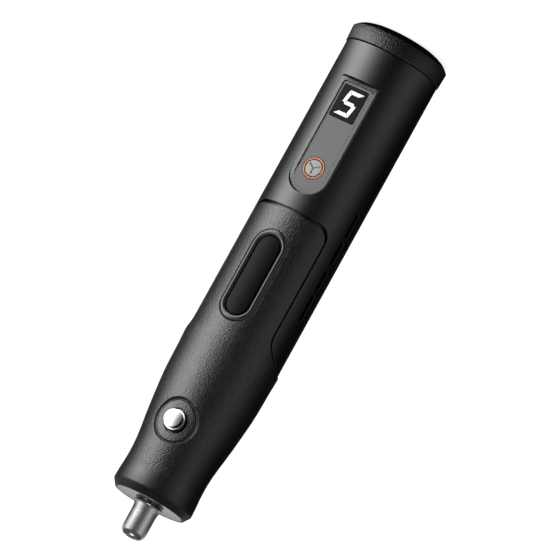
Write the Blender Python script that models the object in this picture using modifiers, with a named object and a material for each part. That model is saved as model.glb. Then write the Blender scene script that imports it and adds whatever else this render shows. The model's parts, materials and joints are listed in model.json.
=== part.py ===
"""Cordless mini grinder, pen type, standing on its rear cap with the spindle pointing up.

Metres, +Z up. The Z axis is the tool's axis and the origin is the middle of the rear cap's end.
The front, with the panel and the lock button, faces -Y. A "reach" is a distance from the axis
towards the front.
"""

import math

import bmesh
import bpy
from mathutils import Euler, Matrix

MM = 0.001

# Clearances shared by all pieces
GAP = 0.3 * MM
TRIM_GAP = 0.15 * MM
OVERRUN = 4 * MM
MERGE_DISTANCE = 0.001 * MM

# Battery cell and motor, and the shells that follow from the wider of the two
MOTOR_RADIUS = 12.2 * MM
MOTOR_CLEARANCE = 0.4 * MM
MOTOR_STEP = 0.6 * MM
CELL_RADIUS = 9.15 * MM
CELL_LENGTH = 65 * MM
CELL_OFFSET = 2.5 * MM
CELL_EDGE = 0.6 * MM
CELL_BUTTON_RADIUS = 3.2 * MM
CELL_BUTTON_HEIGHT = 0.4 * MM
CRADLE_WALL = 0.95 * MM
SEAT_WALL = 1.5 * MM
GRIP_WALL = 1.5 * MM
HOUSING_WALL = 1.8 * MM
CRADLE_RADIUS = CELL_OFFSET + CELL_RADIUS + GAP + CRADLE_WALL
MOTOR_BORE_RADIUS = MOTOR_RADIUS + MOTOR_CLEARANCE
MID_BORE_RADIUS = max(CRADLE_RADIUS + GAP, MOTOR_BORE_RADIUS + MOTOR_STEP)
SEAT_RADIUS = MID_BORE_RADIUS + SEAT_WALL
HOUSING_RADIUS = SEAT_RADIUS + GAP + GRIP_WALL
BORE_RADIUS = HOUSING_RADIUS - HOUSING_WALL

# Rear cap with the charge socket
CAP_LENGTH = 7.7 * MM
CAP_PROUD = 0.55 * MM
CAP_CHAMFER_WIDTH = 4.15 * MM
CAP_CHAMFER_LENGTH = 2.54 * MM
CAP_CHAMFER_BULGE = 0.3 * MM
CAP_CHAMFER_STEPS = 4
CAP_EDGE = 0.3 * MM
CAP_END_WALL = 2 * MM
CAP_RELIEF_LENGTH = 4.2 * MM
SPIGOT_LENGTH = 3.8 * MM
SPIGOT_WALL = 1.4 * MM
CAP_RADIUS = HOUSING_RADIUS + CAP_PROUD
USB_WIDTH = 8.94 * MM
USB_HEIGHT = 3.2 * MM
USB_LENGTH = 7.35 * MM
USB_WALL = 0.3 * MM
USB_RECESS = 0.6 * MM
USB_TONGUE_WIDTH = 6.6 * MM
USB_TONGUE_HEIGHT = 0.7 * MM
USB_TONGUE_RECESS = 1 * MM
CHARGE_BOARD_LENGTH = 10.9 * MM
CHARGE_BOARD_WIDTH = 16 * MM
BOARD_THICKNESS = 1.2 * MM

# Places along the axis, one after another from the rear
CRADLE_END_WALL = 1.2 * MM
TAB_THICKNESS = 0.2 * MM
LEAD_SPACE = 4.3 * MM
END_BELL_RIM = 0.9 * MM
CAN_LENGTH = 30 * MM
MOUNT_THICKNESS = 3 * MM
REAR_BEARING_DEPTH = 12.9 * MM
BEARING_WIDTH = 5 * MM
BEARING_SPAN = 22 * MM
LOCK_TO_BEARING = 14.5 * MM
NOSE_DEPTH = 6.2 * MM
NUT_STANDOFF = 0.4 * MM
HOUSING_Z = CAP_LENGTH + GAP
CHARGE_BOARD_Z = CAP_END_WALL + GAP
CRADLE_Z = CHARGE_BOARD_Z + CHARGE_BOARD_LENGTH + GAP
REAR_TAB_Z = CRADLE_Z + CRADLE_END_WALL + GAP
CELL_Z = REAR_TAB_Z + TAB_THICKNESS + GAP
CELL_TOP_Z = CELL_Z + CELL_LENGTH
FRONT_TAB_Z = CELL_TOP_Z + GAP
MOTOR_Z = FRONT_TAB_Z + TAB_THICKNESS + LEAD_SPACE
CAN_Z = MOTOR_Z + END_BELL_RIM + GAP
CAN_TOP_Z = CAN_Z + CAN_LENGTH
MOUNT_Z = CAN_TOP_Z + GAP
MOUNT_TOP_Z = MOUNT_Z + MOUNT_THICKNESS
CARRIER_Z = MOUNT_TOP_Z + GAP
REAR_BEARING_Z = CARRIER_Z + REAR_BEARING_DEPTH
FRONT_BEARING_Z = REAR_BEARING_Z + BEARING_WIDTH + BEARING_SPAN
LOCK_Z = FRONT_BEARING_Z - LOCK_TO_BEARING
NOSE_FACE_Z = FRONT_BEARING_Z + BEARING_WIDTH + NOSE_DEPTH
NUT_Z = NOSE_FACE_Z + NUT_STANDOFF

GRIP_START_Z = 67.5 * MM

# Control panel in its pocket, with the window, the button and its light ring
PANEL_Z = 20.15 * MM
PANEL_LENGTH = 41.65 * MM
PANEL_WIDTH = 13.9 * MM
PANEL_CORNER = 0.8 * MM
PANEL_THICKNESS = 1.2 * MM
WINDOW_INSET = 2.5 * MM
WINDOW_LENGTH = 11.75 * MM
WINDOW_WIDTH = 9.2 * MM
WINDOW_CORNER = 0.6 * MM
BUTTON_INSET = 32.25 * MM
BUTTON_RADIUS = 2.8 * MM
BUTTON_PROUD = 0.25 * MM
BUTTON_EDGE = 0.25 * MM
BUTTON_TRAVEL = 0.5 * MM
BUTTON_FLANGE_WIDTH = 0.6 * MM
BUTTON_FLANGE_THICKNESS = 0.5 * MM
RING_WIDTH = 0.65 * MM
RING_GAP = 0.25 * MM
RING_PROUD = 0.1 * MM
RING_BACK = 0.25 * MM
PANEL_FACE = math.sqrt(HOUSING_RADIUS**2 - (PANEL_WIDTH / 2) ** 2)
PANEL_BACK = PANEL_FACE - PANEL_THICKNESS
POCKET_FLOOR = PANEL_BACK - GAP
WINDOW_Z = PANEL_Z + WINDOW_INSET
BUTTON_Z = PANEL_Z + BUTTON_INSET
RING_INNER = BUTTON_RADIUS + RING_GAP
RING_OUTER = RING_INNER + RING_WIDTH
RING_BACK_REACH = PANEL_BACK - RING_BACK
BUTTON_FLANGE_REACH = RING_BACK_REACH - GAP

# Main board and what sits on it
DISPLAY_THICKNESS = 3.6 * MM
DISPLAY_WIDTH = 10 * MM
DISPLAY_LENGTH = 16 * MM
BOARD_WIDTH = 19 * MM
BOARD_END_GAP = 0.2 * MM
BOARD_SETBACK = 3.5 * MM
TACT_SIZE = 6 * MM
TACT_THICKNESS = 1.6 * MM
TACT_FLOOR = 0.4 * MM
PLUNGER_RADIUS = 1.2 * MM
PLUNGER_LENGTH = 0.9 * MM
PLUNGER_PROUD = 0.55 * MM
CHIP_SIZE = 5 * MM
CHIP_THICKNESS = 1 * MM
CHIP_INSET = 26 * MM
BOARD_SCREW_SPREAD = 7.3 * MM
BOARD_SCREW_INSET = 2.5 * MM
BOARD_SCREW_RADIUS = 1 * MM
BOARD_SCREW_LENGTH = 4.8 * MM
BOARD_SCREW_HEAD_RADIUS = 1.8 * MM
BOARD_SCREW_HEAD = 1.1 * MM
BOARD_FACE = POCKET_FLOOR - DISPLAY_THICKNESS - GAP
BOARD_BACK = BOARD_FACE - BOARD_THICKNESS
CRADLE_FLAT = BOARD_BACK - GAP
BOARD_Z = CRADLE_Z + BOARD_SETBACK
BOARD_TOP_Z = GRIP_START_Z - SEAT_WALL - GAP - BOARD_END_GAP
TACT_TOP = BOARD_FACE + GAP + TACT_THICKNESS
PLUNGER_TOP = TACT_TOP + PLUNGER_PROUD

# Motor
CAN_WALL = 0.8 * MM
CAN_END_WALL = 1 * MM
CAN_BOSS_RADIUS = 3 * MM
CAN_BOSS_LENGTH = 2 * MM
SHAFT_RADIUS = 1 * MM
SHAFT_TAIL = 0.8 * MM
END_BELL_DEPTH = 2 * MM
END_BELL_WALL = 1.6 * MM
END_BELL_FLOOR = 1.5 * MM
MAGNET_THICKNESS = 1.6 * MM
MAGNET_LENGTH = 21 * MM
MAGNET_INSET = 4.5 * MM
MAGNET_GAP_WIDTH = 6 * MM
ARMATURE_RADIUS = 9 * MM
ARMATURE_LENGTH = 16 * MM
ARMATURE_INSET = 7 * MM
POLE_COUNT = 3
POLE_TIP_ANGLE = math.radians(50)
POLE_TIP_THICKNESS = 1.6 * MM
POLE_NECK = 3.2 * MM
POLE_HUB_RADIUS = 3.4 * MM
POLE_STEPS = 10
POLE_SIDE_STEPS = 3
WINDING_WIDTH = 2.1 * MM
WINDING_INNER_REACH = 3.9 * MM
WINDING_THICKNESS = 2 * MM
WINDING_OVERHANG = 1.4 * MM
COMMUTATOR_RADIUS = 3 * MM
COMMUTATOR_LENGTH = 4.4 * MM
BRUSH_LENGTH = 3.2 * MM
BRUSH_WIDTH = 3 * MM
BRUSH_HEIGHT = 3 * MM
TERMINAL_SPREAD = 7.5 * MM
TERMINAL_WIDTH = 2.8 * MM
TERMINAL_THICKNESS = 0.5 * MM
TERMINAL_LENGTH = 2.8 * MM
CAN_INNER_RADIUS = MOTOR_RADIUS - CAN_WALL
MAGNET_OUTER_RADIUS = CAN_INNER_RADIUS - GAP
COMMUTATOR_Z = MOTOR_Z + END_BELL_FLOOR + GAP
ARMATURE_Z = CAN_Z + ARMATURE_INSET

# Motor mount and its screws
MOTOR_SCREW_SPREAD = 8 * MM
MOTOR_SCREW_RADIUS = 1.2 * MM
MOTOR_SCREW_HEAD_RADIUS = 2.2 * MM
MOTOR_SCREW_HEAD = 1.3 * MM
MOTOR_SCREW_LENGTH = 6 * MM
SCREW_SOCKET_SHARE = 0.5

# Spindle, its two ball bearings and their housing
BEARING_RADIUS = 7.5 * MM
RACE_THICKNESS = 1 * MM
BALL_RADIUS = 0.8 * MM
BALL_COUNT = 7
BALL_STEPS = 6
CAGE_THICKNESS = 0.7 * MM
SPINDLE_RADIUS = 3 * MM
SPINDLE_BODY_RADIUS = 4.2 * MM
SPINDLE_TAIL_RADIUS = 2.5 * MM
SPINDLE_THREAD_LENGTH = 6.8 * MM
COLLET_BORE_DEPTH = 18 * MM
SHOULDER_LIP = 1.3 * MM
CARRIER_SKIRT_WALL = 1.5 * MM
CARRIER_SKIRT_DEPTH = 10.9 * MM
COUPLING_RADIUS = 4.5 * MM
COUPLING_LENGTH = 11.7 * MM
COUPLING_SHAFT_DEPTH = 5.9 * MM
NECK_BORE_RADIUS = MOTOR_BORE_RADIUS
BEARING_BORE_RADIUS = BEARING_RADIUS + GAP
SHOULDER_BORE_RADIUS = BEARING_BORE_RADIUS - SHOULDER_LIP
RACE_INNER_RADIUS = SPINDLE_RADIUS + GAP
BALL_TRACK_RADIUS = (RACE_INNER_RADIUS + BEARING_RADIUS) / 2

# Collet and nut
COLLET_RADIUS = 1.85 * MM
COLLET_BORE_RADIUS = 1.2 * MM
COLLET_TAIL_GAP = 3 * MM
COLLET_HEAD_RADIUS = 2.9 * MM
COLLET_HEAD_LENGTH = 3.2 * MM
COLLET_HEAD_SHARES = ((0.35, 1.0), (0.5, 1.0), (0.94, 0.66), (1.0, 0.64))
COLLET_SLIT = 0.4 * MM
COLLET_SLIT_LENGTH = 9 * MM
NUT_LENGTH = 12 * MM
NUT_RADIUS = 4.2 * MM
NUT_FLANGE_RADIUS = 5 * MM
NUT_FLARE_LENGTH = 3.4 * MM
NUT_TIP_LENGTH = 2.8 * MM
NUT_TIP_RADIUS = 2 * MM
NUT_MOUTH_RADIUS = 1.65 * MM
NUT_MOUTH_LENGTH = 1.6 * MM
NUT_CONE_LENGTH = 2.1 * MM
NUT_CONE_RADIUS = 2.1 * MM
NUT_FLARE_STEPS = 3
NUT_TIP_STEPS = 4
SPINDLE_END_Z = NOSE_FACE_Z + SPINDLE_THREAD_LENGTH
SPINDLE_BORE_RADIUS = COLLET_RADIUS + GAP
COLLET_HEAD_Z = SPINDLE_END_Z + GAP

# Grip sleeve
GRIP_GROOVE = 1.2 * MM
GRIP_SIDE_GROOVE = 0.5 * MM
GRIP_SIDE_ANGLE = math.radians(58)
GRIP_CORNER_ANGLE = math.radians(40)
GRIP_CORNER_LENGTH = 5.2 * MM
GRIP_CORNER_STEPS = 6
GRIP_SWEEP_STEPS = 10
GRIP_NECK_LENGTH = 55.6 * MM
GRIP_SWELL_LENGTH = 4 * MM
GRIP_SHOULDER_PROUD = 0.55 * MM
GRIP_CURVE_LENGTH = 8.8 * MM
GRIP_CURVE_REACH_SHARE = 0.52
GRIP_WAIST_DROP = 3.46 * MM
GRIP_CHAMFER_LENGTH = 2.3 * MM
GRIP_CHAMFER_WIDTH = 1.6 * MM
GRIP_LIP_WALL = 0.3 * MM
GRIP_LIP_DEPTH = 1.3 * MM
SHOULDER_Z = NOSE_FACE_Z - GRIP_NECK_LENGTH
SHOULDER_RADIUS = HOUSING_RADIUS + GRIP_SHOULDER_PROUD
TAPER_LENGTH = GRIP_NECK_LENGTH - GRIP_CHAMFER_LENGTH

# How the grip narrows from the shoulder to the rim: share of the length, share of the drop
GRIP_TAPER_SHARES = (
    (0.0, 0.0),
    (0.04, 0.04),
    (0.11, 0.085),
    (0.22, 0.118),
    (0.295, 0.165),
    (0.366, 0.265),
    (0.439, 0.385),
    (0.514, 0.51),
    (0.589, 0.66),
    (0.662, 0.82),
    (0.72, 0.93),
    (0.777, 0.988),
    (0.824, 1.0),
    (0.882, 0.977),
    (0.917, 0.922),
    (0.955, 0.893),
    (1.0, 0.882),
)
WAIST_SHARE = next(share for share, drop in GRIP_TAPER_SHARES if drop == 1.0)
WAIST_Z = SHOULDER_Z + TAPER_LENGTH * WAIST_SHARE
NECK_RADIUS = SEAT_RADIUS - GAP
RECESS_END_Z = SHOULDER_Z + GAP + 2 * SEAT_WALL
GRIP_SWELL_SHARES = ((0.0, 0.0), (0.3, 0.15), (0.65, 0.65), (1.0, 1.0))

# Badge let into the grip, left bare
BADGE_Z = 76.1 * MM
BADGE_LENGTH = 32.9 * MM
BADGE_WIDTH = 12.5 * MM
BADGE_PROUD = 0.6 * MM
BADGE_RIM = 2.3 * MM
BADGE_EDGE = 0.55 * MM
BADGE_PLATE_SINK = 0.1 * MM

# Spindle lock
LOCK_DISH_RADIUS = 7.55 * MM
LOCK_DISH_DEPTH = 0.7 * MM
LOCK_HOLE_RADIUS = 4.2 * MM
LOCK_DOME_RADIUS = 3.1 * MM
LOCK_DOME_EDGE = 1.3 * MM
LOCK_DOME_STEPS = 5
LOCK_DOME_CROWN = 0.35 * MM
LOCK_PROUD = 2.6 * MM
LOCK_DOME_LENGTH = 2.75 * MM
LOCK_SKIRT_RADIUS = 3.4 * MM
LOCK_FLANGE_RADIUS = 3.85 * MM
LOCK_FLANGE_THICKNESS = 0.7 * MM
LOCK_BODY_LENGTH = 7.15 * MM
LOCK_CUP_RADIUS = 2.7 * MM
LOCK_CUP_WALL = 3.15 * MM
LOCK_TRAVEL = 2.4 * MM
LOCK_PIN_RADIUS = 1.2 * MM
LOCK_PIN_STANDOFF = 0.4 * MM
LOCK_POCKET_SPARE = 0.25 * MM
SPRING_RADIUS = 2.1 * MM
SPRING_WIRE_RADIUS = 0.2 * MM
SPRING_TURNS = 4
SPRING_STEPS = 10
LOCK_HOLE_ANGLES = (0.0, math.radians(90))

# Cooling slots in the housing's sides, from the rear to the nose: start and length
SLOT_ANGLE = math.radians(81)
SLOT_WIDTH = 2 * MM
SLOT_PLACES = (
    (57.7 * MM, 9.1 * MM),
    (68.1 * MM, 8.2 * MM),
    (78.6 * MM, 7.5 * MM),
    (87.7 * MM, 9.4 * MM),
)

# Leads
LEAD_RADIUS = 0.5 * MM
MOTOR_LEAD_SPREAD = 4.4 * MM
LEAD_END_STANDOFF = 4.6 * MM
BATTERY_LEAD_SPREAD = 2.5 * MM
LEAD_BEND = 2.4 * MM
LEAD_NOTCH_WIDTH = 2.4 * MM
LEAD_NOTCH_LENGTH = 3.5 * MM
TAB_WIDTH = 8 * MM
TAB_LENGTH = 12 * MM

# Facets round a full turn
COARSE_STEPS = 12
MEDIUM_STEPS = 20
FINE_STEPS = 32
SHARP_ANGLE = math.radians(35)

FRONT = (math.radians(90), 0, 0)
SIDEWAYS = (math.radians(90), 0, math.radians(90))
UPRIGHT = (0, 0, 0)


def new_collection(name):
    made = bpy.data.collections.new(name)
    bpy.context.scene.collection.children.link(made)
    return made


for old in list(bpy.data.objects):
    bpy.data.objects.remove(old)
PIECES = new_collection("mini_grinder")
CUTTERS = new_collection("cutters")


def finish(name, colour, roughness, metallic=0.0):
    """A plain Principled material with the piece's colour, roughness and metallic value."""
    made = bpy.data.materials.new(name)
    made.use_nodes = True
    shader = made.node_tree.nodes["Principled BSDF"]
    shader.inputs["Base Color"].default_value = (*colour, 1)
    shader.inputs["Roughness"].default_value = roughness
    shader.inputs["Metallic"].default_value = metallic
    return made


SATIN_BLACK = finish("satin_black_plastic", (0.02, 0.02, 0.021), 0.38)
SOFT_BLACK = finish("soft_black_rubber", (0.024, 0.024, 0.025), 0.62)
PANEL_GREY = finish("panel_grey", (0.15, 0.15, 0.155), 0.5)
WINDOW_BLACK = finish("window_black", (0.01, 0.01, 0.012), 0.12)
BUTTON_GREY = finish("button_grey", (0.42, 0.42, 0.42), 0.45)
ORANGE = finish("light_ring_orange", (0.85, 0.26, 0.09), 0.4)
STEEL = finish("bright_steel", (0.62, 0.62, 0.63), 0.22, 1.0)
BEARING_STEEL = finish("bearing_steel", (0.55, 0.56, 0.58), 0.15, 1.0)
ALUMINIUM = finish("nose_aluminium", (0.5, 0.5, 0.51), 0.35, 1.0)
COPPER = finish("copper", (0.72, 0.33, 0.18), 0.3, 1.0)
MAGNET = finish("magnet_grey", (0.08, 0.08, 0.085), 0.5, 0.6)
CARBON = finish("brush_carbon", (0.03, 0.03, 0.03), 0.7)
NICKEL = finish("nickel", (0.6, 0.58, 0.54), 0.25, 1.0)
CELL_BLUE = finish("cell_wrap_blue", (0.03, 0.12, 0.32), 0.4)
CRADLE_GREY = finish("carrier_grey_plastic", (0.12, 0.12, 0.13), 0.5)
BOARD_GREEN = finish("board_green", (0.02, 0.16, 0.06), 0.45)
CHIP_BLACK = finish("chip_black", (0.015, 0.015, 0.016), 0.5)
RED_LEAD = finish("lead_red", (0.45, 0.02, 0.02), 0.5)
BLACK_LEAD = finish("lead_black", (0.02, 0.02, 0.02), 0.5)


def placed(name, mesh, material, at=(0, 0, 0), turn=UPRIGHT):
    """Puts a mesh in the scene as one piece of the object."""
    mesh.materials.clear()
    mesh.materials.append(material)
    mesh.shade_smooth()
    mesh.set_sharp_from_angle(angle=SHARP_ANGLE)
    piece = bpy.data.objects.new(name, mesh)
    piece.location = at
    piece.rotation_euler = turn
    PIECES.objects.link(piece)
    return piece


def helper(name, mesh, at=(0, 0, 0), turn=UPRIGHT):
    """Puts a mesh in the scene as a tool for Booleans, which no render shows."""
    made = bpy.data.objects.new(name, mesh)
    made.location = at
    made.rotation_euler = turn
    made.hide_render = True
    made.display_type = "WIRE"
    CUTTERS.objects.link(made)
    return made


def boolean(piece, other, operation):
    step = piece.modifiers.new(f"{operation.lower()}_{other.name}", "BOOLEAN")
    step.operation = operation
    step.solver = "EXACT"
    step.object = other


def cut(piece, *others):
    for other in others:
        boolean(piece, other, "DIFFERENCE")


def join(piece, *others):
    for other in others:
        boolean(piece, other, "UNION")


def keep(piece, other):
    boolean(piece, other, "INTERSECT")


def evaluated_mesh(source):
    """The object's mesh with its modifiers applied. The object itself is removed."""
    bpy.context.view_layer.update()
    graph = bpy.context.evaluated_depsgraph_get()
    mesh = bpy.data.meshes.new_from_object(source.evaluated_get(graph))
    bpy.data.objects.remove(source)
    return mesh


def turned(outline, steps=MEDIUM_STEPS):
    """Turns an outline of (radius, height) points about Z. Its two ends may lie on the axis."""
    following = outline[1:] + outline[:1]
    twice_area = sum(a[0] * b[1] - b[0] * a[1] for a, b in zip(outline, following))
    points = outline[::-1] if twice_area > 0 else outline
    on_axis = outline[0][0] == 0 and outline[-1][0] == 0
    edges = [(i, i + 1) for i in range(len(points) - 1)]
    if not on_axis:
        edges.append((len(points) - 1, 0))
    mesh = bpy.data.meshes.new("profile")
    mesh.from_pydata([(radius, 0, height) for radius, height in points], edges, [])
    profile = bpy.data.objects.new("profile", mesh)
    PIECES.objects.link(profile)
    screw = profile.modifiers.new("turn", "SCREW")
    screw.axis = "Z"
    screw.angle = 2 * math.pi
    screw.steps = steps
    screw.render_steps = steps
    screw.use_merge_vertices = True
    screw.merge_threshold = MERGE_DISTANCE
    return evaluated_mesh(profile)


def extruded(outlines, thickness):
    """A flat outline, with any holes in it, drawn in X and Y and made thick evenly both ways along Z."""
    curve = bpy.data.curves.new("outline", "CURVE")
    curve.dimensions = "2D"
    curve.fill_mode = "BOTH"
    curve.extrude = thickness / 2
    for outline in outlines:
        spline = curve.splines.new("POLY")
        spline.points.add(len(outline) - 1)
        spline.use_cyclic_u = True
        for point, (x, y) in zip(spline.points, outline):
            point.co = (x, y, 0, 1)
    drawn = bpy.data.objects.new("outline", curve)
    PIECES.objects.link(drawn)
    mesh = evaluated_mesh(drawn)
    welded = bmesh.new()
    welded.from_mesh(mesh)
    bmesh.ops.remove_doubles(welded, verts=welded.verts, dist=MERGE_DISTANCE)
    bmesh.ops.recalc_face_normals(welded, faces=welded.faces)
    welded.to_mesh(mesh)
    welded.free()
    return mesh


def box(low, high):
    """A box between two corners, from a unit cube."""
    made = bmesh.new()
    bmesh.ops.create_cube(made, size=1)
    size = [b - a for a, b in zip(low, high)]
    middle = [(a + b) / 2 for a, b in zip(low, high)]
    placing = Matrix.Translation(middle) @ Matrix.Diagonal((*size, 1))
    bmesh.ops.transform(made, matrix=placing, verts=made.verts)
    mesh = bpy.data.meshes.new("box")
    made.to_mesh(mesh)
    made.free()
    return mesh


def rod(radius, low, high, steps=MEDIUM_STEPS):
    return turned([(0, low), (radius, low), (radius, high), (0, high)], steps)


def tube(inner, outer, low, high, steps=MEDIUM_STEPS):
    return turned([(inner, low), (outer, low), (outer, high), (inner, high)], steps)


def merged(meshes):
    """Several closed meshes as one mesh of separate bodies."""
    whole = bmesh.new()
    for mesh in meshes:
        whole.from_mesh(mesh)
    joined = bpy.data.meshes.new("group")
    whole.to_mesh(joined)
    whole.free()
    return joined


def moved(mesh, by, turn=0.0):
    """Turns a mesh about Z, then shifts it."""
    mesh.transform(Matrix.Translation(by) @ Matrix.Rotation(turn, 4, "Z"))
    return mesh


def polar(radius, angle):
    return (radius * math.cos(angle), radius * math.sin(angle))


def arc(middle, radius, start, end, steps):
    """Points of a round arc, from one angle to another."""
    angles = [start + (end - start) * i / steps for i in range(steps + 1)]
    return [(middle[0] + radius * math.cos(a), middle[1] + radius * math.sin(a)) for a in angles]


def slot_outline(width, length, steps=8):
    """A slot with round ends, its length along Y, centred on the origin."""
    radius = width / 2
    reach = length / 2 - radius
    upper = arc((0, reach), radius, 0, math.pi, steps)
    lower = arc((0, -reach), radius, math.pi, 2 * math.pi, steps)
    return upper + lower


def rounded_box_outline(width, length, corner, steps=4):
    """A rectangle with round corners, its length along Y, centred on the origin."""
    points = []
    for quarter, (sx, sy) in enumerate(((1, 1), (-1, 1), (-1, -1), (1, -1))):
        middle = (sx * (width / 2 - corner), sy * (length / 2 - corner))
        start = quarter * math.pi / 2
        points += arc(middle, corner, start, start + math.pi / 2, steps)
    return points


def panel_outline(inset, corner_steps=3, end_steps=16):
    """The panel's outline: small corners at the rear, a full round end towards the nose."""
    radius = PANEL_WIDTH / 2 - inset
    corner = PANEL_CORNER
    low = PANEL_Z + inset
    high = PANEL_Z + PANEL_LENGTH - inset
    rear_left = arc((corner - radius, low + corner), corner, math.pi, 1.5 * math.pi, corner_steps)
    rear_right = arc((radius - corner, low + corner), corner, 1.5 * math.pi, 2 * math.pi, corner_steps)
    return rear_left + rear_right + arc((0, high - radius), radius, 0, math.pi, end_steps)


def grip_radius(z):
    """The grip's outer radius at a height, from its shares of the taper."""
    share = (z - SHOULDER_Z) / TAPER_LENGTH
    for (near, near_drop), (far, far_drop) in zip(GRIP_TAPER_SHARES, GRIP_TAPER_SHARES[1:]):
        if share <= far:
            part = max(share - near, 0) / (far - near)
            return SHOULDER_RADIUS - GRIP_WAIST_DROP * (near_drop + part * (far_drop - near_drop))
    return SHOULDER_RADIUS - GRIP_WAIST_DROP * GRIP_TAPER_SHARES[-1][1]


def taper_heights():
    return [SHOULDER_Z + TAPER_LENGTH * share for share, _ in GRIP_TAPER_SHARES]


def neck_heights(low, high):
    """Every third of the taper's heights, for the plainer surfaces under the grip."""
    return [z for z in taper_heights()[::3] if low < z < high]


def neck_radius(z):
    """The housing's outer radius under the grip. It follows the grip, and never widens again."""
    return min(NECK_RADIUS, grip_radius(min(z, WAIST_Z)) - GRIP_WALL)


def neck_bore_radius(z):
    return min(NECK_BORE_RADIUS, neck_radius(z) - SEAT_WALL)


def grip_region(inset_rear, inset_side):
    """The side view of the space that the grip fills, as (y, z) points with the front at -Y.

    A straight line across the front, a round corner, a straight side, and a quarter of an
    ellipse that sweeps round to the back at the shoulder.
    """
    far = CAP_RADIUS + OVERRUN
    corner_y = -HOUSING_RADIUS * math.cos(GRIP_CORNER_ANGLE)
    side_y = -HOUSING_RADIUS * math.cos(GRIP_SIDE_ANGLE)
    rear_z = GRIP_START_Z + inset_rear
    curve_y = HOUSING_RADIUS * GRIP_CURVE_REACH_SHARE
    curve_z = SHOULDER_Z - GRIP_CURVE_LENGTH
    points = [(-far, rear_z)]
    for i in range(GRIP_CORNER_STEPS + 1):
        angle = i / GRIP_CORNER_STEPS * math.pi / 2
        y = corner_y + (side_y - inset_side - corner_y) * math.sin(angle)
        points.append((y, rear_z + GRIP_CORNER_LENGTH * (1 - math.cos(angle))))
    for i in range(GRIP_SWEEP_STEPS + 1):
        angle = i / GRIP_SWEEP_STEPS * math.pi / 2
        y = curve_y - (curve_y - side_y + inset_side) * math.cos(angle)
        points.append((y, curve_z + (GRIP_CURVE_LENGTH + inset_side) * math.sin(angle)))
    end_z = NOSE_FACE_Z + OVERRUN
    return points + [(far, SHOULDER_Z + inset_side), (far, end_z), (-far, end_z)]


def rear_cap():
    inner = BORE_RADIUS - GAP
    end_radius = CAP_RADIUS - CAP_CHAMFER_WIDTH
    chamfer = []
    for i in range(1, CAP_CHAMFER_STEPS + 1):
        share = i / CAP_CHAMFER_STEPS
        swell = CAP_CHAMFER_BULGE * math.sin(math.pi * share)
        radius = end_radius + CAP_CHAMFER_WIDTH * share + swell
        chamfer.append((radius, CAP_CHAMFER_LENGTH * share - swell))
    relief_z = CAP_END_WALL + CAP_RELIEF_LENGTH
    top = CAP_LENGTH + SPIGOT_LENGTH
    outline = [(0, 0), (end_radius, 0)] + chamfer + [
        (CAP_RADIUS, CAP_LENGTH - CAP_EDGE),
        (CAP_RADIUS - CAP_EDGE, CAP_LENGTH),
        (inner, CAP_LENGTH),
        (inner, top),
        (inner - SPIGOT_WALL, top),
        (inner - SPIGOT_WALL, relief_z),
        (BORE_RADIUS, relief_z),
        (BORE_RADIUS, CAP_END_WALL),
        (0, CAP_END_WALL),
    ]
    piece = placed("rear_cap", turned(outline, FINE_STEPS), SOFT_BLACK)
    hole = slot_outline(USB_HEIGHT + 2 * GAP, USB_WIDTH + 2 * GAP)
    across = [(y, x) for x, y in hole]
    cut(piece, helper("usb_hole", extruded([across[::-1]], 2 * (CAP_END_WALL + OVERRUN))))


def housing():
    end_z = NOSE_FACE_Z - GRIP_LIP_DEPTH - GAP
    step_z = GRIP_START_Z - SEAT_WALL
    motor_step_z = MOTOR_Z - LEAD_SPACE
    heights = neck_heights(RECESS_END_Z, end_z)
    outer = [(HOUSING_RADIUS, HOUSING_Z), (HOUSING_RADIUS, RECESS_END_Z)]
    outer += [(neck_radius(z), z) for z in [RECESS_END_Z] + heights + [end_z]]
    inner = [(neck_bore_radius(z), z) for z in [end_z] + heights[::-1]]
    inner += [
        (NECK_BORE_RADIUS, motor_step_z),
        (MID_BORE_RADIUS, motor_step_z),
        (MID_BORE_RADIUS, step_z),
        (BORE_RADIUS, step_z),
        (BORE_RADIUS, HOUSING_Z),
    ]
    piece = placed("housing", turned(outer + inner, FINE_STEPS), SATIN_BLACK)

    # The recess for the grip: the grip's region, less a core that keeps the seat
    width = 2 * (CAP_RADIUS + OVERRUN)
    recess = helper("grip_recess", extruded([grip_region(0, 0)], width), turn=SIDEWAYS)
    core = rod(SEAT_RADIUS, GRIP_START_Z - OVERRUN, NOSE_FACE_Z + 2 * OVERRUN, FINE_STEPS)
    cut(recess, helper("seat_core", core))
    cut(piece, recess)

    # The pocket for the panel
    depth = HOUSING_RADIUS + OVERRUN - POCKET_FLOOR
    pocket = extruded([panel_outline(0)], depth)
    cut(piece, helper("panel_pocket", pocket, (0, -(POCKET_FLOOR + depth / 2), 0), FRONT))

    # The hole for the lock button, too narrow for the flange that keeps the button in
    hole = rod(LOCK_SKIRT_RADIUS + GAP, 0, CAP_RADIUS)
    cut(piece, helper("lock_hole", hole, (0, 0, LOCK_Z), FRONT))

    # The cooling slots, the same on both sides
    for side in (-1, 1):
        for number, (start, length) in enumerate(SLOT_PLACES):
            slot = extruded([slot_outline(SLOT_WIDTH, length, 4)], HOUSING_RADIUS)
            turn = (math.radians(90), 0, side * SLOT_ANGLE)
            x, y = polar(HOUSING_RADIUS + SLOT_WIDTH, side * SLOT_ANGLE - math.pi / 2)
            name = f"slot_{number}_{'left' if side < 0 else 'right'}"
            cut(piece, helper(name, slot, (x, y, start + length / 2), turn))


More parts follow.
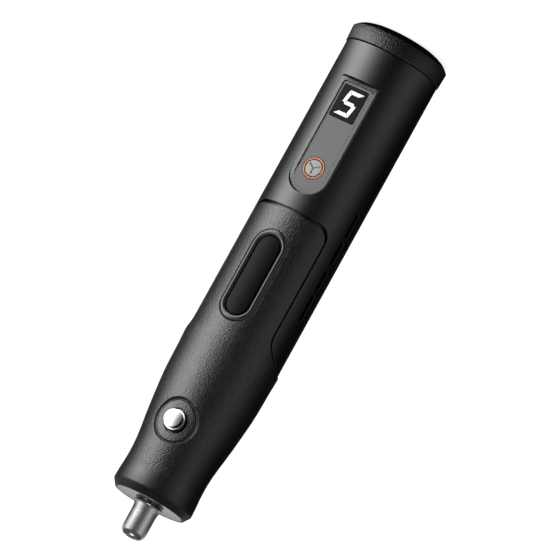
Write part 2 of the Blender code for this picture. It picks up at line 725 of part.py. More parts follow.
def grip_sleeve():
    lip_radius = grip_radius(NOSE_FACE_Z) - GRIP_CHAMFER_WIDTH
    lip_inner = lip_radius - GRIP_LIP_WALL
    lip_z = NOSE_FACE_Z - GRIP_LIP_DEPTH
    low = GRIP_START_Z
    swell_z = SHOULDER_Z - GRIP_SWELL_LENGTH
    outer = [(HOUSING_RADIUS, low)]
    for share, rise in GRIP_SWELL_SHARES:
        outer.append((HOUSING_RADIUS + GRIP_SHOULDER_PROUD * rise, swell_z + GRIP_SWELL_LENGTH * share))
    outer += [(grip_radius(z), z) for z in taper_heights()[1:]]
    outer += [(lip_radius, NOSE_FACE_Z), (lip_inner, NOSE_FACE_Z), (lip_inner, lip_z)]
    seat = SEAT_RADIUS + GAP
    heights = neck_heights(RECESS_END_Z, lip_z)
    inner = [(neck_radius(z) + GAP, z) for z in [lip_z] + heights[::-1]]
    inner += [(seat, heights[0] - SEAT_WALL), (seat, low)]
    piece = placed("grip_sleeve", turned(outer + inner, FINE_STEPS), SOFT_BLACK)

    width = 2 * (CAP_RADIUS + OVERRUN)
    region = extruded([grip_region(GRIP_GROOVE, GRIP_SIDE_GROOVE)], width)
    keep(piece, helper("grip_region", region, turn=SIDEWAYS))

    depth = CAP_RADIUS
    hole = extruded([slot_outline(BADGE_WIDTH + 2 * TRIM_GAP, BADGE_LENGTH + 2 * TRIM_GAP)], depth)
    badge_middle = BADGE_Z + BADGE_LENGTH / 2
    cut(piece, helper("badge_hole", hole, (0, -CAP_RADIUS, badge_middle), FRONT))
    hole = rod(LOCK_HOLE_RADIUS, 0, CAP_RADIUS)
    cut(piece, helper("lock_hole_in_grip", hole, (0, 0, LOCK_Z), FRONT))

    # The shallow dish round the lock button: its floor follows the grip at a fixed depth
    round_cut = rod(LOCK_DISH_RADIUS, 0, CAP_RADIUS + OVERRUN, FINE_STEPS)
    dish = helper("lock_dish", round_cut, (0, 0, LOCK_Z), FRONT)
    heights = [NOSE_FACE_Z] + taper_heights()[::-1]
    floor = [(grip_radius(z) - LOCK_DISH_DEPTH, z) for z in heights]
    floor = [(0, NOSE_FACE_Z)] + floor + [(0, SHOULDER_Z)]
    cut(dish, helper("dish_floor", turned(floor, FINE_STEPS)))
    cut(piece, dish)


def nose_plate():
    radius = grip_radius(NOSE_FACE_Z) - GRIP_CHAMFER_WIDTH - GRIP_LIP_WALL - GAP
    back_z = NOSE_FACE_Z - GRIP_LIP_DEPTH
    seat_z = FRONT_BEARING_Z + BEARING_WIDTH + GAP
    boss_inner = BEARING_RADIUS - 2 * RACE_THICKNESS
    hole = SPINDLE_RADIUS + 2 * GAP
    outline = [
        (hole, NOSE_FACE_Z),
        (radius, NOSE_FACE_Z),
        (radius, back_z),
        (BEARING_RADIUS, back_z),
        (BEARING_RADIUS, seat_z),
        (boss_inner, seat_z),
        (boss_inner, back_z),
        (hole, back_z),
    ]
    placed("nose_plate", turned(outline, FINE_STEPS), ALUMINIUM)


def control_panel():
    middle = (PANEL_FACE + PANEL_BACK) / 2
    plate = extruded([panel_outline(GAP)], PANEL_THICKNESS)
    piece = placed("control_panel", plate, PANEL_GREY, (0, -middle, 0), FRONT)
    window = rounded_box_outline(WINDOW_WIDTH, WINDOW_LENGTH, WINDOW_CORNER)
    hole = extruded([window], PANEL_THICKNESS + OVERRUN)
    cut(piece, helper("window_hole", hole, (0, -middle, WINDOW_Z + WINDOW_LENGTH / 2), FRONT))
    hole = rod(RING_OUTER + TRIM_GAP, 0, CAP_RADIUS)
    cut(piece, helper("button_hole", hole, (0, 0, BUTTON_Z), FRONT))


def display_window():
    middle = (PANEL_FACE + PANEL_BACK) / 2
    width = WINDOW_WIDTH - 2 * TRIM_GAP
    length = WINDOW_LENGTH - 2 * TRIM_GAP
    lens = extruded([rounded_box_outline(width, length, WINDOW_CORNER)], PANEL_THICKNESS)
    placed("display_window", lens, WINDOW_BLACK, (0, -middle, WINDOW_Z + WINDOW_LENGTH / 2), FRONT)


def speed_button():
    """The button's cap, with the flange that keeps it in and the stem that reaches the switch."""
    face = PANEL_FACE + BUTTON_PROUD
    flange = BUTTON_FLANGE_REACH - BUTTON_FLANGE_THICKNESS
    outline = [
        (0, face),
        (BUTTON_RADIUS - BUTTON_EDGE, face),
        (BUTTON_RADIUS, face - BUTTON_EDGE),
        (BUTTON_RADIUS, BUTTON_FLANGE_REACH),
        (BUTTON_RADIUS + BUTTON_FLANGE_WIDTH, BUTTON_FLANGE_REACH),
        (BUTTON_RADIUS + BUTTON_FLANGE_WIDTH, flange),
        (PLUNGER_RADIUS, flange),
        (PLUNGER_RADIUS, PLUNGER_TOP + GAP),
        (0, PLUNGER_TOP + GAP),
    ]
    placed("speed_button", turned(outline), BUTTON_GREY, (0, 0, BUTTON_Z), FRONT)


def button_ring():
    ring = tube(RING_INNER, RING_OUTER, RING_BACK_REACH, PANEL_FACE + RING_PROUD)
    placed("button_ring", ring, ORANGE, (0, 0, BUTTON_Z), FRONT)


def tact_switch():
    low = BOARD_FACE + GAP
    half = TACT_SIZE / 2
    body = box((-half, -half, low), (half, half, TACT_TOP))
    piece = placed("tact_switch", body, CHIP_BLACK, (0, 0, BUTTON_Z), FRONT)
    hole = rod(PLUNGER_RADIUS + GAP, low + TACT_FLOOR, TACT_TOP + OVERRUN, COARSE_STEPS)
    cut(piece, helper("plunger_hole", hole, (0, 0, BUTTON_Z), FRONT))
    plunger = rod(PLUNGER_RADIUS, PLUNGER_TOP - PLUNGER_LENGTH, PLUNGER_TOP, COARSE_STEPS)
    placed("tact_plunger", plunger, CARBON, (0, 0, BUTTON_Z), FRONT)


def badge():
    """The raised frame and its plate. The frame's face follows the grip's curve, a little proud of it."""
    middle = BADGE_Z + BADGE_LENGTH / 2
    low = BADGE_Z - OVERRUN
    high = BADGE_Z + BADGE_LENGTH + OVERRUN
    seat = SEAT_RADIUS + GAP
    at = (0, -CAP_RADIUS, middle)
    inner_width = BADGE_WIDTH - 2 * BADGE_RIM
    inner_length = BADGE_LENGTH - 2 * BADGE_RIM

    shell = tube(seat, HOUSING_RADIUS + BADGE_PROUD, low, high, FINE_STEPS)
    bezel = placed("badge_bezel", shell, SATIN_BLACK)
    outer = extruded([slot_outline(BADGE_WIDTH, BADGE_LENGTH, 10)], CAP_RADIUS)
    keep(bezel, helper("bezel_outline", outer, at, FRONT))
    inner = extruded([slot_outline(inner_width, inner_length, 10)], CAP_RADIUS + OVERRUN)
    cut(bezel, helper("bezel_opening", inner, at, FRONT))

    shell = tube(seat, HOUSING_RADIUS - BADGE_PLATE_SINK, low, high, FINE_STEPS)
    plate = placed("badge_plate", shell, WINDOW_BLACK)
    rim = 2 * TRIM_GAP
    face = extruded([slot_outline(inner_width - rim, inner_length - rim, 10)], CAP_RADIUS)
    keep(plate, helper("plate_outline", face, at, FRONT))


def lock_tip():
    return grip_radius(LOCK_Z) + LOCK_PROUD


def lock_base():
    """How far from the axis the lock button's lower end is at rest."""
    return lock_tip() - LOCK_BODY_LENGTH


def lock_pocket_floor():
    return lock_base() - LOCK_TRAVEL - LOCK_POCKET_SPARE


def lock_parts():
    tip = lock_tip()
    base = lock_base()
    rounding = (LOCK_DOME_RADIUS - LOCK_DOME_EDGE, tip - LOCK_DOME_EDGE - LOCK_DOME_CROWN)
    dome = arc(rounding, LOCK_DOME_EDGE, math.pi / 2, 0, LOCK_DOME_STEPS)
    skirt = tip - LOCK_DOME_LENGTH
    cup = tip - LOCK_CUP_WALL
    outline = [(0, tip)] + dome + [
        (LOCK_DOME_RADIUS, skirt),
        (LOCK_SKIRT_RADIUS, skirt - GAP),
        (LOCK_SKIRT_RADIUS, base + LOCK_FLANGE_THICKNESS),
        (LOCK_FLANGE_RADIUS, base + LOCK_FLANGE_THICKNESS),
        (LOCK_FLANGE_RADIUS, base),
        (LOCK_CUP_RADIUS, base),
        (LOCK_CUP_RADIUS, cup),
        (0, cup),
    ]
    placed("lock_button", turned(outline), STEEL, (0, 0, LOCK_Z), FRONT)

    pin = rod(LOCK_PIN_RADIUS, SPINDLE_BODY_RADIUS + LOCK_PIN_STANDOFF, cup - GAP, COARSE_STEPS)
    placed("lock_pin", pin, STEEL, (0, 0, LOCK_Z), FRONT)

    # The return spring is one tube on a helix, from the pocket's floor into the button's cup
    low = lock_pocket_floor() + GAP + SPRING_WIRE_RADIUS
    high = cup - GAP - SPRING_WIRE_RADIUS
    count = SPRING_TURNS * SPRING_STEPS
    route = []
    for i in range(count + 1):
        x, z = polar(SPRING_RADIUS, 2 * math.pi * i / SPRING_STEPS)
        reach = low + (high - low) * i / count
        route.append((x, -reach, LOCK_Z + z))
    placed("lock_spring", wire(route, SPRING_WIRE_RADIUS), STEEL)


def wire(route, radius):
    """Round wire along a route of (x, y, z) points, with closed ends."""
    curve = bpy.data.curves.new("wire", "CURVE")
    curve.dimensions = "3D"
    curve.bevel_depth = radius
    curve.bevel_resolution = 1
    curve.use_fill_caps = True
    spline = curve.splines.new("POLY")
    spline.points.add(len(route) - 1)
    for point, place in zip(spline.points, route):
        point.co = (*place, 1)
    drawn = bpy.data.objects.new("wire", curve)
    PIECES.objects.link(drawn)
    mesh = evaluated_mesh(drawn)
    welded = bmesh.new()
    welded.from_mesh(mesh)
    bmesh.ops.remove_doubles(welded, verts=welded.verts, dist=MERGE_DISTANCE)
    bmesh.ops.recalc_face_normals(welded, faces=welded.faces)
    welded.to_mesh(mesh)
    welded.free()
    return mesh


def collet_and_nut():
    low = NUT_Z
    high = NUT_Z + NUT_LENGTH
    thread = SPINDLE_RADIUS + GAP
    flare = []
    for i in range(NUT_FLARE_STEPS + 1):
        angle = i / NUT_FLARE_STEPS * math.pi / 2
        radius = NUT_FLANGE_RADIUS - (NUT_FLANGE_RADIUS - NUT_RADIUS) * math.sin(angle)
        flare.append((radius, low + GAP + (NUT_FLARE_LENGTH - GAP) * (1 - math.cos(angle))))
    tip = []
    for i in range(NUT_TIP_STEPS + 1):
        angle = i / NUT_TIP_STEPS * math.pi / 2
        radius = NUT_TIP_RADIUS + (NUT_RADIUS - NUT_TIP_RADIUS) * math.cos(angle)
        tip.append((radius, high - NUT_TIP_LENGTH + NUT_TIP_LENGTH * math.sin(angle)))
    mouth_z = high - NUT_MOUTH_LENGTH
    cone_z = mouth_z - GAP
    outline = [(thread, low), (NUT_FLANGE_RADIUS, low)] + flare + tip + [
        (NUT_MOUTH_RADIUS, high),
        (NUT_MOUTH_RADIUS, mouth_z),
        (NUT_CONE_RADIUS, cone_z),
        (thread, cone_z - NUT_CONE_LENGTH),
    ]
    placed("collet_nut", turned(outline), STEEL)

    base_z = SPINDLE_END_Z - COLLET_BORE_DEPTH + COLLET_TAIL_GAP
    head = []
    for length_share, radius_share in COLLET_HEAD_SHARES:
        head_z = COLLET_HEAD_Z + COLLET_HEAD_LENGTH * length_share
        head.append((COLLET_HEAD_RADIUS * radius_share, head_z))
    outline = [(COLLET_BORE_RADIUS, base_z), (COLLET_RADIUS, base_z), (COLLET_RADIUS, COLLET_HEAD_Z)]
    outline += head + [(COLLET_BORE_RADIUS, head[-1][1])]
    piece = placed("collet", turned(outline, COARSE_STEPS), STEEL)
    reach = COLLET_HEAD_RADIUS + OVERRUN
    bottom = head[-1][1] - COLLET_SLIT_LENGTH
    top = head[-1][1] + OVERRUN
    half = COLLET_SLIT / 2
    cut(piece, helper("slit_across", box((-reach, -half, bottom), (reach, half, top))))
    cut(piece, helper("slit_along", box((-half, -reach, bottom), (half, reach, top))))


def spindle():
    shoulder_low = REAR_BEARING_Z + BEARING_WIDTH + GAP
    shoulder_high = FRONT_BEARING_Z - GAP
    tail_z = CARRIER_Z + COUPLING_SHAFT_DEPTH + GAP
    bore_z = SPINDLE_END_Z - COLLET_BORE_DEPTH
    outline = [
        (0, tail_z),
        (SPINDLE_TAIL_RADIUS, tail_z),
        (SPINDLE_TAIL_RADIUS, REAR_BEARING_Z - GAP),
        (SPINDLE_RADIUS, REAR_BEARING_Z - GAP),
        (SPINDLE_RADIUS, shoulder_low),
        (SPINDLE_BODY_RADIUS, shoulder_low),
        (SPINDLE_BODY_RADIUS, shoulder_high),
        (SPINDLE_RADIUS, shoulder_high),
        (SPINDLE_RADIUS, SPINDLE_END_Z),
        (SPINDLE_BORE_RADIUS, SPINDLE_END_Z),
        (SPINDLE_BORE_RADIUS, bore_z),
        (0, bore_z),
    ]
    piece = placed("spindle", turned(outline), STEEL)
    reach = SPINDLE_BODY_RADIUS + OVERRUN
    for number, angle in enumerate(LOCK_HOLE_ANGLES):
        drill = rod(LOCK_PIN_RADIUS + GAP, -reach, reach, COARSE_STEPS)
        turn = (math.radians(90), 0, angle)
        cut(piece, helper(f"lock_drilling_{number}", drill, (0, 0, LOCK_Z), turn))


def bearing(name, z):
    """The outer and inner races, and the ball cage with its balls as one solid."""
    top = z + BEARING_WIDTH
    middle = z + BEARING_WIDTH / 2
    outer = tube(BEARING_RADIUS - RACE_THICKNESS, BEARING_RADIUS, z, top)
    placed(f"{name}_bearing_outer", outer, BEARING_STEEL)
    inner = tube(RACE_INNER_RADIUS, RACE_INNER_RADIUS + RACE_THICKNESS, z, top)
    placed(f"{name}_bearing_inner", inner, BEARING_STEEL)
    balls = []
    for i in range(BALL_COUNT):
        ball = bmesh.new()
        bmesh.ops.create_uvsphere(
            ball, u_segments=BALL_STEPS, v_segments=BALL_STEPS - 2, radius=BALL_RADIUS
        )
        mesh = bpy.data.meshes.new("ball")
        ball.to_mesh(mesh)
        ball.free()
        balls.append(moved(mesh, (*polar(BALL_TRACK_RADIUS, 2 * math.pi * i / BALL_COUNT), middle)))
    half = CAGE_THICKNESS / 2
    track = (BALL_TRACK_RADIUS - half, BALL_TRACK_RADIUS + half)
    ring = tube(*track, middle - half, middle + half, 2 * BALL_COUNT)
    cage = placed(f"{name}_ball_cage", ring, BEARING_STEEL)
    join(cage, helper(f"{name}_balls", merged(balls)))


def bearing_housing():
    """The metal carrier that holds both bearings and stands on the motor mount."""
    end_z = NOSE_FACE_Z - GRIP_LIP_DEPTH - GAP
    skirt_radius = NECK_BORE_RADIUS - GAP
    seat_z = CARRIER_Z + CARRIER_SKIRT_DEPTH
    rear_shoulder = REAR_BEARING_Z + BEARING_WIDTH + GAP
    front_shoulder = FRONT_BEARING_Z - GAP
    heights = neck_heights(seat_z, end_z)
    outline = [(skirt_radius - CARRIER_SKIRT_WALL, CARRIER_Z), (skirt_radius, CARRIER_Z)]
    outline += [(neck_bore_radius(z) - GAP, z) for z in heights + [end_z]]
    outline += [
        (BEARING_BORE_RADIUS, end_z),
        (BEARING_BORE_RADIUS, front_shoulder),
        (SHOULDER_BORE_RADIUS, front_shoulder),
        (SHOULDER_BORE_RADIUS, rear_shoulder),
        (BEARING_BORE_RADIUS, rear_shoulder),
        (BEARING_BORE_RADIUS, seat_z),
        (skirt_radius - CARRIER_SKIRT_WALL, seat_z),
    ]
    piece = placed("bearing_housing", turned(outline, FINE_STEPS), ALUMINIUM)
    pocket = rod(LOCK_HOLE_RADIUS, lock_pocket_floor(), CAP_RADIUS)
    cut(piece, helper("lock_pocket", pocket, (0, 0, LOCK_Z), FRONT))
    pin_hole = rod(LOCK_PIN_RADIUS + GAP, 0, CAP_RADIUS, COARSE_STEPS)
    cut(piece, helper("pin_hole", pin_hole, (0, 0, LOCK_Z), FRONT))


def shaft_coupling():
    top = CARRIER_Z + COUPLING_LENGTH
    step = CARRIER_Z + COUPLING_SHAFT_DEPTH
    outline = [
        (SHAFT_RADIUS + GAP, CARRIER_Z),
        (COUPLING_RADIUS, CARRIER_Z),
        (COUPLING_RADIUS, top),
        (SPINDLE_TAIL_RADIUS + GAP, top),
        (SPINDLE_TAIL_RADIUS + GAP, step),
        (SHAFT_RADIUS + GAP, step),
    ]
    placed("shaft_coupling", turned(outline), ALUMINIUM)


def motor_mount():
    radius = NECK_BORE_RADIUS - GAP
    plate = tube(CAN_BOSS_RADIUS + GAP, radius, MOUNT_Z, MOUNT_TOP_Z)
    piece = placed("motor_mount", plate, ALUMINIUM)
    head_z = MOUNT_TOP_Z + GAP
    outline = screw_outline(
        MOTOR_SCREW_RADIUS, MOTOR_SCREW_LENGTH, MOTOR_SCREW_HEAD_RADIUS, MOTOR_SCREW_HEAD
    )
    for number, side in enumerate((-1, 1), start=1):
        x = side * MOTOR_SCREW_SPREAD
        hole = rod(MOTOR_SCREW_RADIUS + GAP, MOUNT_Z - OVERRUN, MOUNT_TOP_Z + OVERRUN, COARSE_STEPS)
        cut(piece, helper(f"mount_hole_{number}", hole, (x, 0, 0)))
        placed(f"motor_screw_{number}", turned(outline, COARSE_STEPS), STEEL, (x, 0, head_z))


def screw_outline(radius, length, head_radius, head):
    """A pan-head screw with a round drive socket. The head's underside is at height zero."""
    socket = head_radius * SCREW_SOCKET_SHARE
    return [
        (0, -length),
        (radius, -length),
        (radius, 0),
        (head_radius, 0),
        (head_radius, head / 2),
        (socket + (head_radius - socket) / 2, head),
        (socket, head),
        (socket, head / 2),
        (0, head / 2),
    ]


def motor_can():
    top = CAN_TOP_Z
    outline = [
        (MOTOR_RADIUS, CAN_Z),
        (MOTOR_RADIUS, top),
        (CAN_BOSS_RADIUS, top),
        (CAN_BOSS_RADIUS, top + CAN_BOSS_LENGTH),
        (SHAFT_RADIUS + GAP, top + CAN_BOSS_LENGTH),
        (SHAFT_RADIUS + GAP, top - CAN_END_WALL),
        (CAN_INNER_RADIUS, top - CAN_END_WALL),
        (CAN_INNER_RADIUS, CAN_Z),
    ]
    piece = placed("motor_can", turned(outline), NICKEL)
    for number, side in enumerate((-1, 1), start=1):
        hole = rod(MOTOR_SCREW_RADIUS + GAP, top - OVERRUN, top + OVERRUN, COARSE_STEPS)
        cut(piece, helper(f"can_hole_{number}", hole, (side * MOTOR_SCREW_SPREAD, 0, 0)))


def motor_end_bell():
    plug = CAN_INNER_RADIUS - GAP
    rim_z = MOTOR_Z + END_BELL_RIM
    top = rim_z + END_BELL_DEPTH
    outline = [
        (SHAFT_RADIUS + GAP, MOTOR_Z),
        (MOTOR_RADIUS, MOTOR_Z),
        (MOTOR_RADIUS, rim_z),
        (plug, rim_z),
        (plug, top),
        (plug - END_BELL_WALL, top),
        (plug - END_BELL_WALL, MOTOR_Z + END_BELL_FLOOR),
        (SHAFT_RADIUS + GAP, MOTOR_Z + END_BELL_FLOOR),
    ]
    placed("motor_end_bell", turned(outline), CHIP_BLACK)


def motor_magnets():
    inner = MAGNET_OUTER_RADIUS - MAGNET_THICKNESS
    low = CAN_Z + MAGNET_INSET
    half = MAGNET_GAP_WIDTH / 2
    reach = MOTOR_RADIUS + OVERRUN
    for name, side in (("left", -1), ("right", 1)):
        ring = tube(inner, MAGNET_OUTER_RADIUS, low, low + MAGNET_LENGTH)
        piece = placed(f"motor_magnet_{name}", ring, MAGNET)
        ends = sorted((-side * reach, side * half))
        near = (ends[0], -reach, low - OVERRUN)
        far = (ends[1], reach, low + MAGNET_LENGTH + OVERRUN)
        cut(piece, helper(f"magnet_side_{name}", box(near, far)))


def motor_armature():
    """Three T-shaped poles on a hub. Each pole has a curved shoe and a straight neck."""
    shoe_inner = ARMATURE_RADIUS - POLE_TIP_THICKNESS
    neck_outer = math.asin(POLE_NECK / 2 / shoe_inner)
    neck_inner = math.asin(POLE_NECK / 2 / POLE_HUB_RADIUS)
    outline = []
    for i in range(POLE_COUNT):
        middle = 2 * math.pi * i / POLE_COUNT
        first = middle - POLE_TIP_ANGLE
        last = middle + POLE_TIP_ANGLE
        outline.append(polar(POLE_HUB_RADIUS, middle - neck_inner))
        outline += arc((0, 0), shoe_inner, middle - neck_outer, first, POLE_SIDE_STEPS)
        outline += arc((0, 0), ARMATURE_RADIUS, first, last, POLE_STEPS)
        outline += arc((0, 0), shoe_inner, last, middle + neck_outer, POLE_SIDE_STEPS)
        outline.append(polar(POLE_HUB_RADIUS, middle + neck_inner))
    hole = arc((0, 0), SHAFT_RADIUS + GAP, 0, 2 * math.pi, COARSE_STEPS)[:-1]
    core = extruded([outline, hole], ARMATURE_LENGTH)
    placed("motor_armature", moved(core, (0, 0, ARMATURE_Z + ARMATURE_LENGTH / 2)), MAGNET)

    # One winding round each neck
    inner_width = POLE_NECK + 2 * GAP
    inner_length = ARMATURE_LENGTH + 2 * GAP
    for i in range(POLE_COUNT):
        outer_width = inner_width + 2 * WINDING_WIDTH
        outer_length = inner_length + 2 * WINDING_OVERHANG
        frame = rounded_box_outline(outer_width, outer_length, WINDING_OVERHANG, 2)
        opening = rounded_box_outline(inner_width, inner_length, GAP, 1)
        mesh = extruded([frame, opening], WINDING_THICKNESS)
        mesh.transform(Euler(SIDEWAYS).to_matrix().to_4x4())
        mesh.transform(Matrix.Translation((WINDING_INNER_REACH + WINDING_THICKNESS / 2, 0, 0)))
        at = (0, 0, ARMATURE_Z + ARMATURE_LENGTH / 2)
        turn = (0, 0, 2 * math.pi * i / POLE_COUNT)
        placed(f"motor_winding_{i + 1}", mesh, COPPER, at, turn)


def commutator_and_brushes():
    ring = tube(SHAFT_RADIUS + GAP, COMMUTATOR_RADIUS, COMMUTATOR_Z, COMMUTATOR_Z + COMMUTATOR_LENGTH)
    placed("motor_commutator", ring, COPPER)
    near = COMMUTATOR_RADIUS + GAP
    half = BRUSH_WIDTH / 2
    top = COMMUTATOR_Z + BRUSH_HEIGHT
    for name, side in (("left", -1), ("right", 1)):
        ends = sorted((side * near, side * (near + BRUSH_LENGTH)))
        brush = box((ends[0], -half, COMMUTATOR_Z), (ends[1], half, top))
        placed(f"motor_brush_{name}", brush, CARBON)


def motor_shaft():
    low = MOTOR_Z - SHAFT_TAIL
    high = CARRIER_Z + COUPLING_SHAFT_DEPTH - GAP
    placed("motor_shaft", rod(SHAFT_RADIUS, low, high, COARSE_STEPS), STEEL)


def motor_terminals():
    top = MOTOR_Z - GAP
    for name, side in (("left", -1), ("right", 1)):
        x = side * TERMINAL_SPREAD
        low = (x - TERMINAL_THICKNESS / 2, -TERMINAL_WIDTH / 2, top - TERMINAL_LENGTH)
        high = (x + TERMINAL_THICKNESS / 2, TERMINAL_WIDTH / 2, top)
        placed(f"motor_terminal_{name}", box(low, high), NICKEL)


def battery():
    top = CELL_TOP_Z
    shoulder = top - CELL_BUTTON_HEIGHT
    outline = [
        (0, CELL_Z),
        (CELL_RADIUS - CELL_EDGE, CELL_Z),
        (CELL_RADIUS, CELL_Z + CELL_EDGE),
        (CELL_RADIUS, shoulder - CELL_EDGE),
        (CELL_RADIUS - CELL_EDGE, shoulder),
        (CELL_BUTTON_RADIUS, shoulder),
        (CELL_BUTTON_RADIUS, top),
        (0, top),
    ]
    placed("battery_cell", turned(outline), CELL_BLUE, (0, CELL_OFFSET, 0))
    half = TAB_WIDTH / 2
    for name, z in (("rear", REAR_TAB_Z), ("front", FRONT_TAB_Z)):
        low = (-half, CELL_OFFSET - TAB_LENGTH / 2, z)
        high = (half, CELL_OFFSET + TAB_LENGTH / 2, z + TAB_THICKNESS)
        placed(f"battery_tab_{name}", box(low, high), NICKEL)


def battery_cradle():
    """A tube round the cell, flat in front where the main board lies, wider at the rear."""
    wide = BORE_RADIUS - GAP
    wide_top = GRIP_START_Z - SEAT_WALL - GAP
    outline = [
        (0, CRADLE_Z),
        (wide, CRADLE_Z),
        (wide, wide_top),
        (CRADLE_RADIUS, wide_top),
        (CRADLE_RADIUS, CELL_TOP_Z),
        (0, CELL_TOP_Z),
    ]
    piece = placed("battery_cradle", turned(outline, FINE_STEPS), CRADLE_GREY)
    bore = rod(CELL_RADIUS + GAP, CRADLE_Z + CRADLE_END_WALL, CELL_TOP_Z + OVERRUN)
    cut(piece, helper("cell_bore", bore, (0, CELL_OFFSET, 0)))
    far = wide + OVERRUN
    flat = box((-far, -far, CRADLE_Z - OVERRUN), (far, -CRADLE_FLAT, CELL_TOP_Z + OVERRUN))
    cut(piece, helper("board_flat", flat))
    notch_half = LEAD_NOTCH_WIDTH / 2
    notch_back = rear_lead_start() + LEAD_RADIUS
    notch_top = CRADLE_Z + LEAD_NOTCH_LENGTH
    notch = box((-notch_half, -far, CRADLE_Z - OVERRUN), (notch_half, notch_back, notch_top))
    cut(piece, helper("lead_notch", notch))
    reach = CRADLE_FLAT + OVERRUN
    depth = BOARD_FACE + GAP - BOARD_SCREW_LENGTH - GAP
    for number, (x, z) in enumerate(board_screw_places()):
        hole = rod(BOARD_SCREW_RADIUS + GAP, depth, reach, COARSE_STEPS)
        cut(piece, helper(f"cradle_screw_hole_{number}", hole, (x, 0, z), FRONT))


def rear_lead_start():
    """Where the rear lead meets the underside of its tab, just behind the tab's front edge."""
    return CELL_OFFSET - TAB_LENGTH / 2 + 2 * LEAD_RADIUS


def board_screw_places():
    """Two screws, at opposite corners of the main board."""
    low = BOARD_Z + BOARD_SCREW_INSET
    high = BOARD_TOP_Z - BOARD_SCREW_INSET
    return [(-BOARD_SCREW_SPREAD, low), (BOARD_SCREW_SPREAD, high)]


def main_board():
    half = BOARD_WIDTH / 2
    board = box((-half, -BOARD_FACE, BOARD_Z), (half, -BOARD_BACK, BOARD_TOP_Z))
    piece = placed("main_board", board, BOARD_GREEN)
    outline = screw_outline(
        BOARD_SCREW_RADIUS, BOARD_SCREW_LENGTH, BOARD_SCREW_HEAD_RADIUS, BOARD_SCREW_HEAD
    )
    for number, (x, z) in enumerate(board_screw_places(), start=1):
        hole = rod(BOARD_SCREW_RADIUS + GAP, BOARD_BACK - OVERRUN, BOARD_FACE + OVERRUN, COARSE_STEPS)
        cut(piece, helper(f"board_hole_{number}", hole, (x, 0, z), FRONT))
        screw = turned(outline, COARSE_STEPS)
        placed(f"board_screw_{number}", screw, STEEL, (x, -BOARD_FACE - GAP, z), FRONT)

    # The control chip, between the display and the switch
    face = -BOARD_FACE - GAP
    chip_z = BOARD_Z + CHIP_INSET
    side = CHIP_SIZE / 2
    chip = box((-side, face - CHIP_THICKNESS, chip_z - side), (side, face, chip_z + side))
    placed("control_chip", chip, CHIP_BLACK)


def display_module():
    half = DISPLAY_WIDTH / 2
    middle = WINDOW_Z + WINDOW_LENGTH / 2
    low = (-half, -POCKET_FLOOR, middle - DISPLAY_LENGTH / 2)
    high = (half, -BOARD_FACE - GAP, middle + DISPLAY_LENGTH / 2)
    placed("display_module", box(low, high), CHIP_BLACK)


def charge_parts():
    """The small board behind the rear cap and the socket on it, whose mouth shows in the cap's end."""
    half = CHARGE_BOARD_WIDTH / 2
    near = USB_HEIGHT / 2 + GAP
    far = near + BOARD_THICKNESS
    top = CHARGE_BOARD_Z + CHARGE_BOARD_LENGTH
    placed("charge_board", box((-half, near, CHARGE_BOARD_Z), (half, far, top)), BOARD_GREEN)

    shell = [(y, x) for x, y in slot_outline(USB_HEIGHT, USB_WIDTH)][::-1]
    inner = slot_outline(USB_HEIGHT - 2 * USB_WALL, USB_WIDTH - 2 * USB_WALL)
    cavity = [(y, x) for x, y in inner][::-1]
    middle = USB_RECESS + USB_LENGTH / 2
    piece = placed("usb_port", extruded([shell], USB_LENGTH), NICKEL, (0, 0, middle))
    hollow = extruded([cavity], USB_LENGTH)
    cut(piece, helper("usb_hollow", hollow, (0, 0, middle - USB_TONGUE_RECESS)))
    half_width = USB_TONGUE_WIDTH / 2
    half_height = USB_TONGUE_HEIGHT / 2
    low = (-half_width, -half_height, USB_RECESS + USB_TONGUE_RECESS)
    high = (half_width, half_height, USB_RECESS + USB_LENGTH - USB_TONGUE_RECESS / 2)
    join(piece, helper("usb_tongue", box(low, high)))


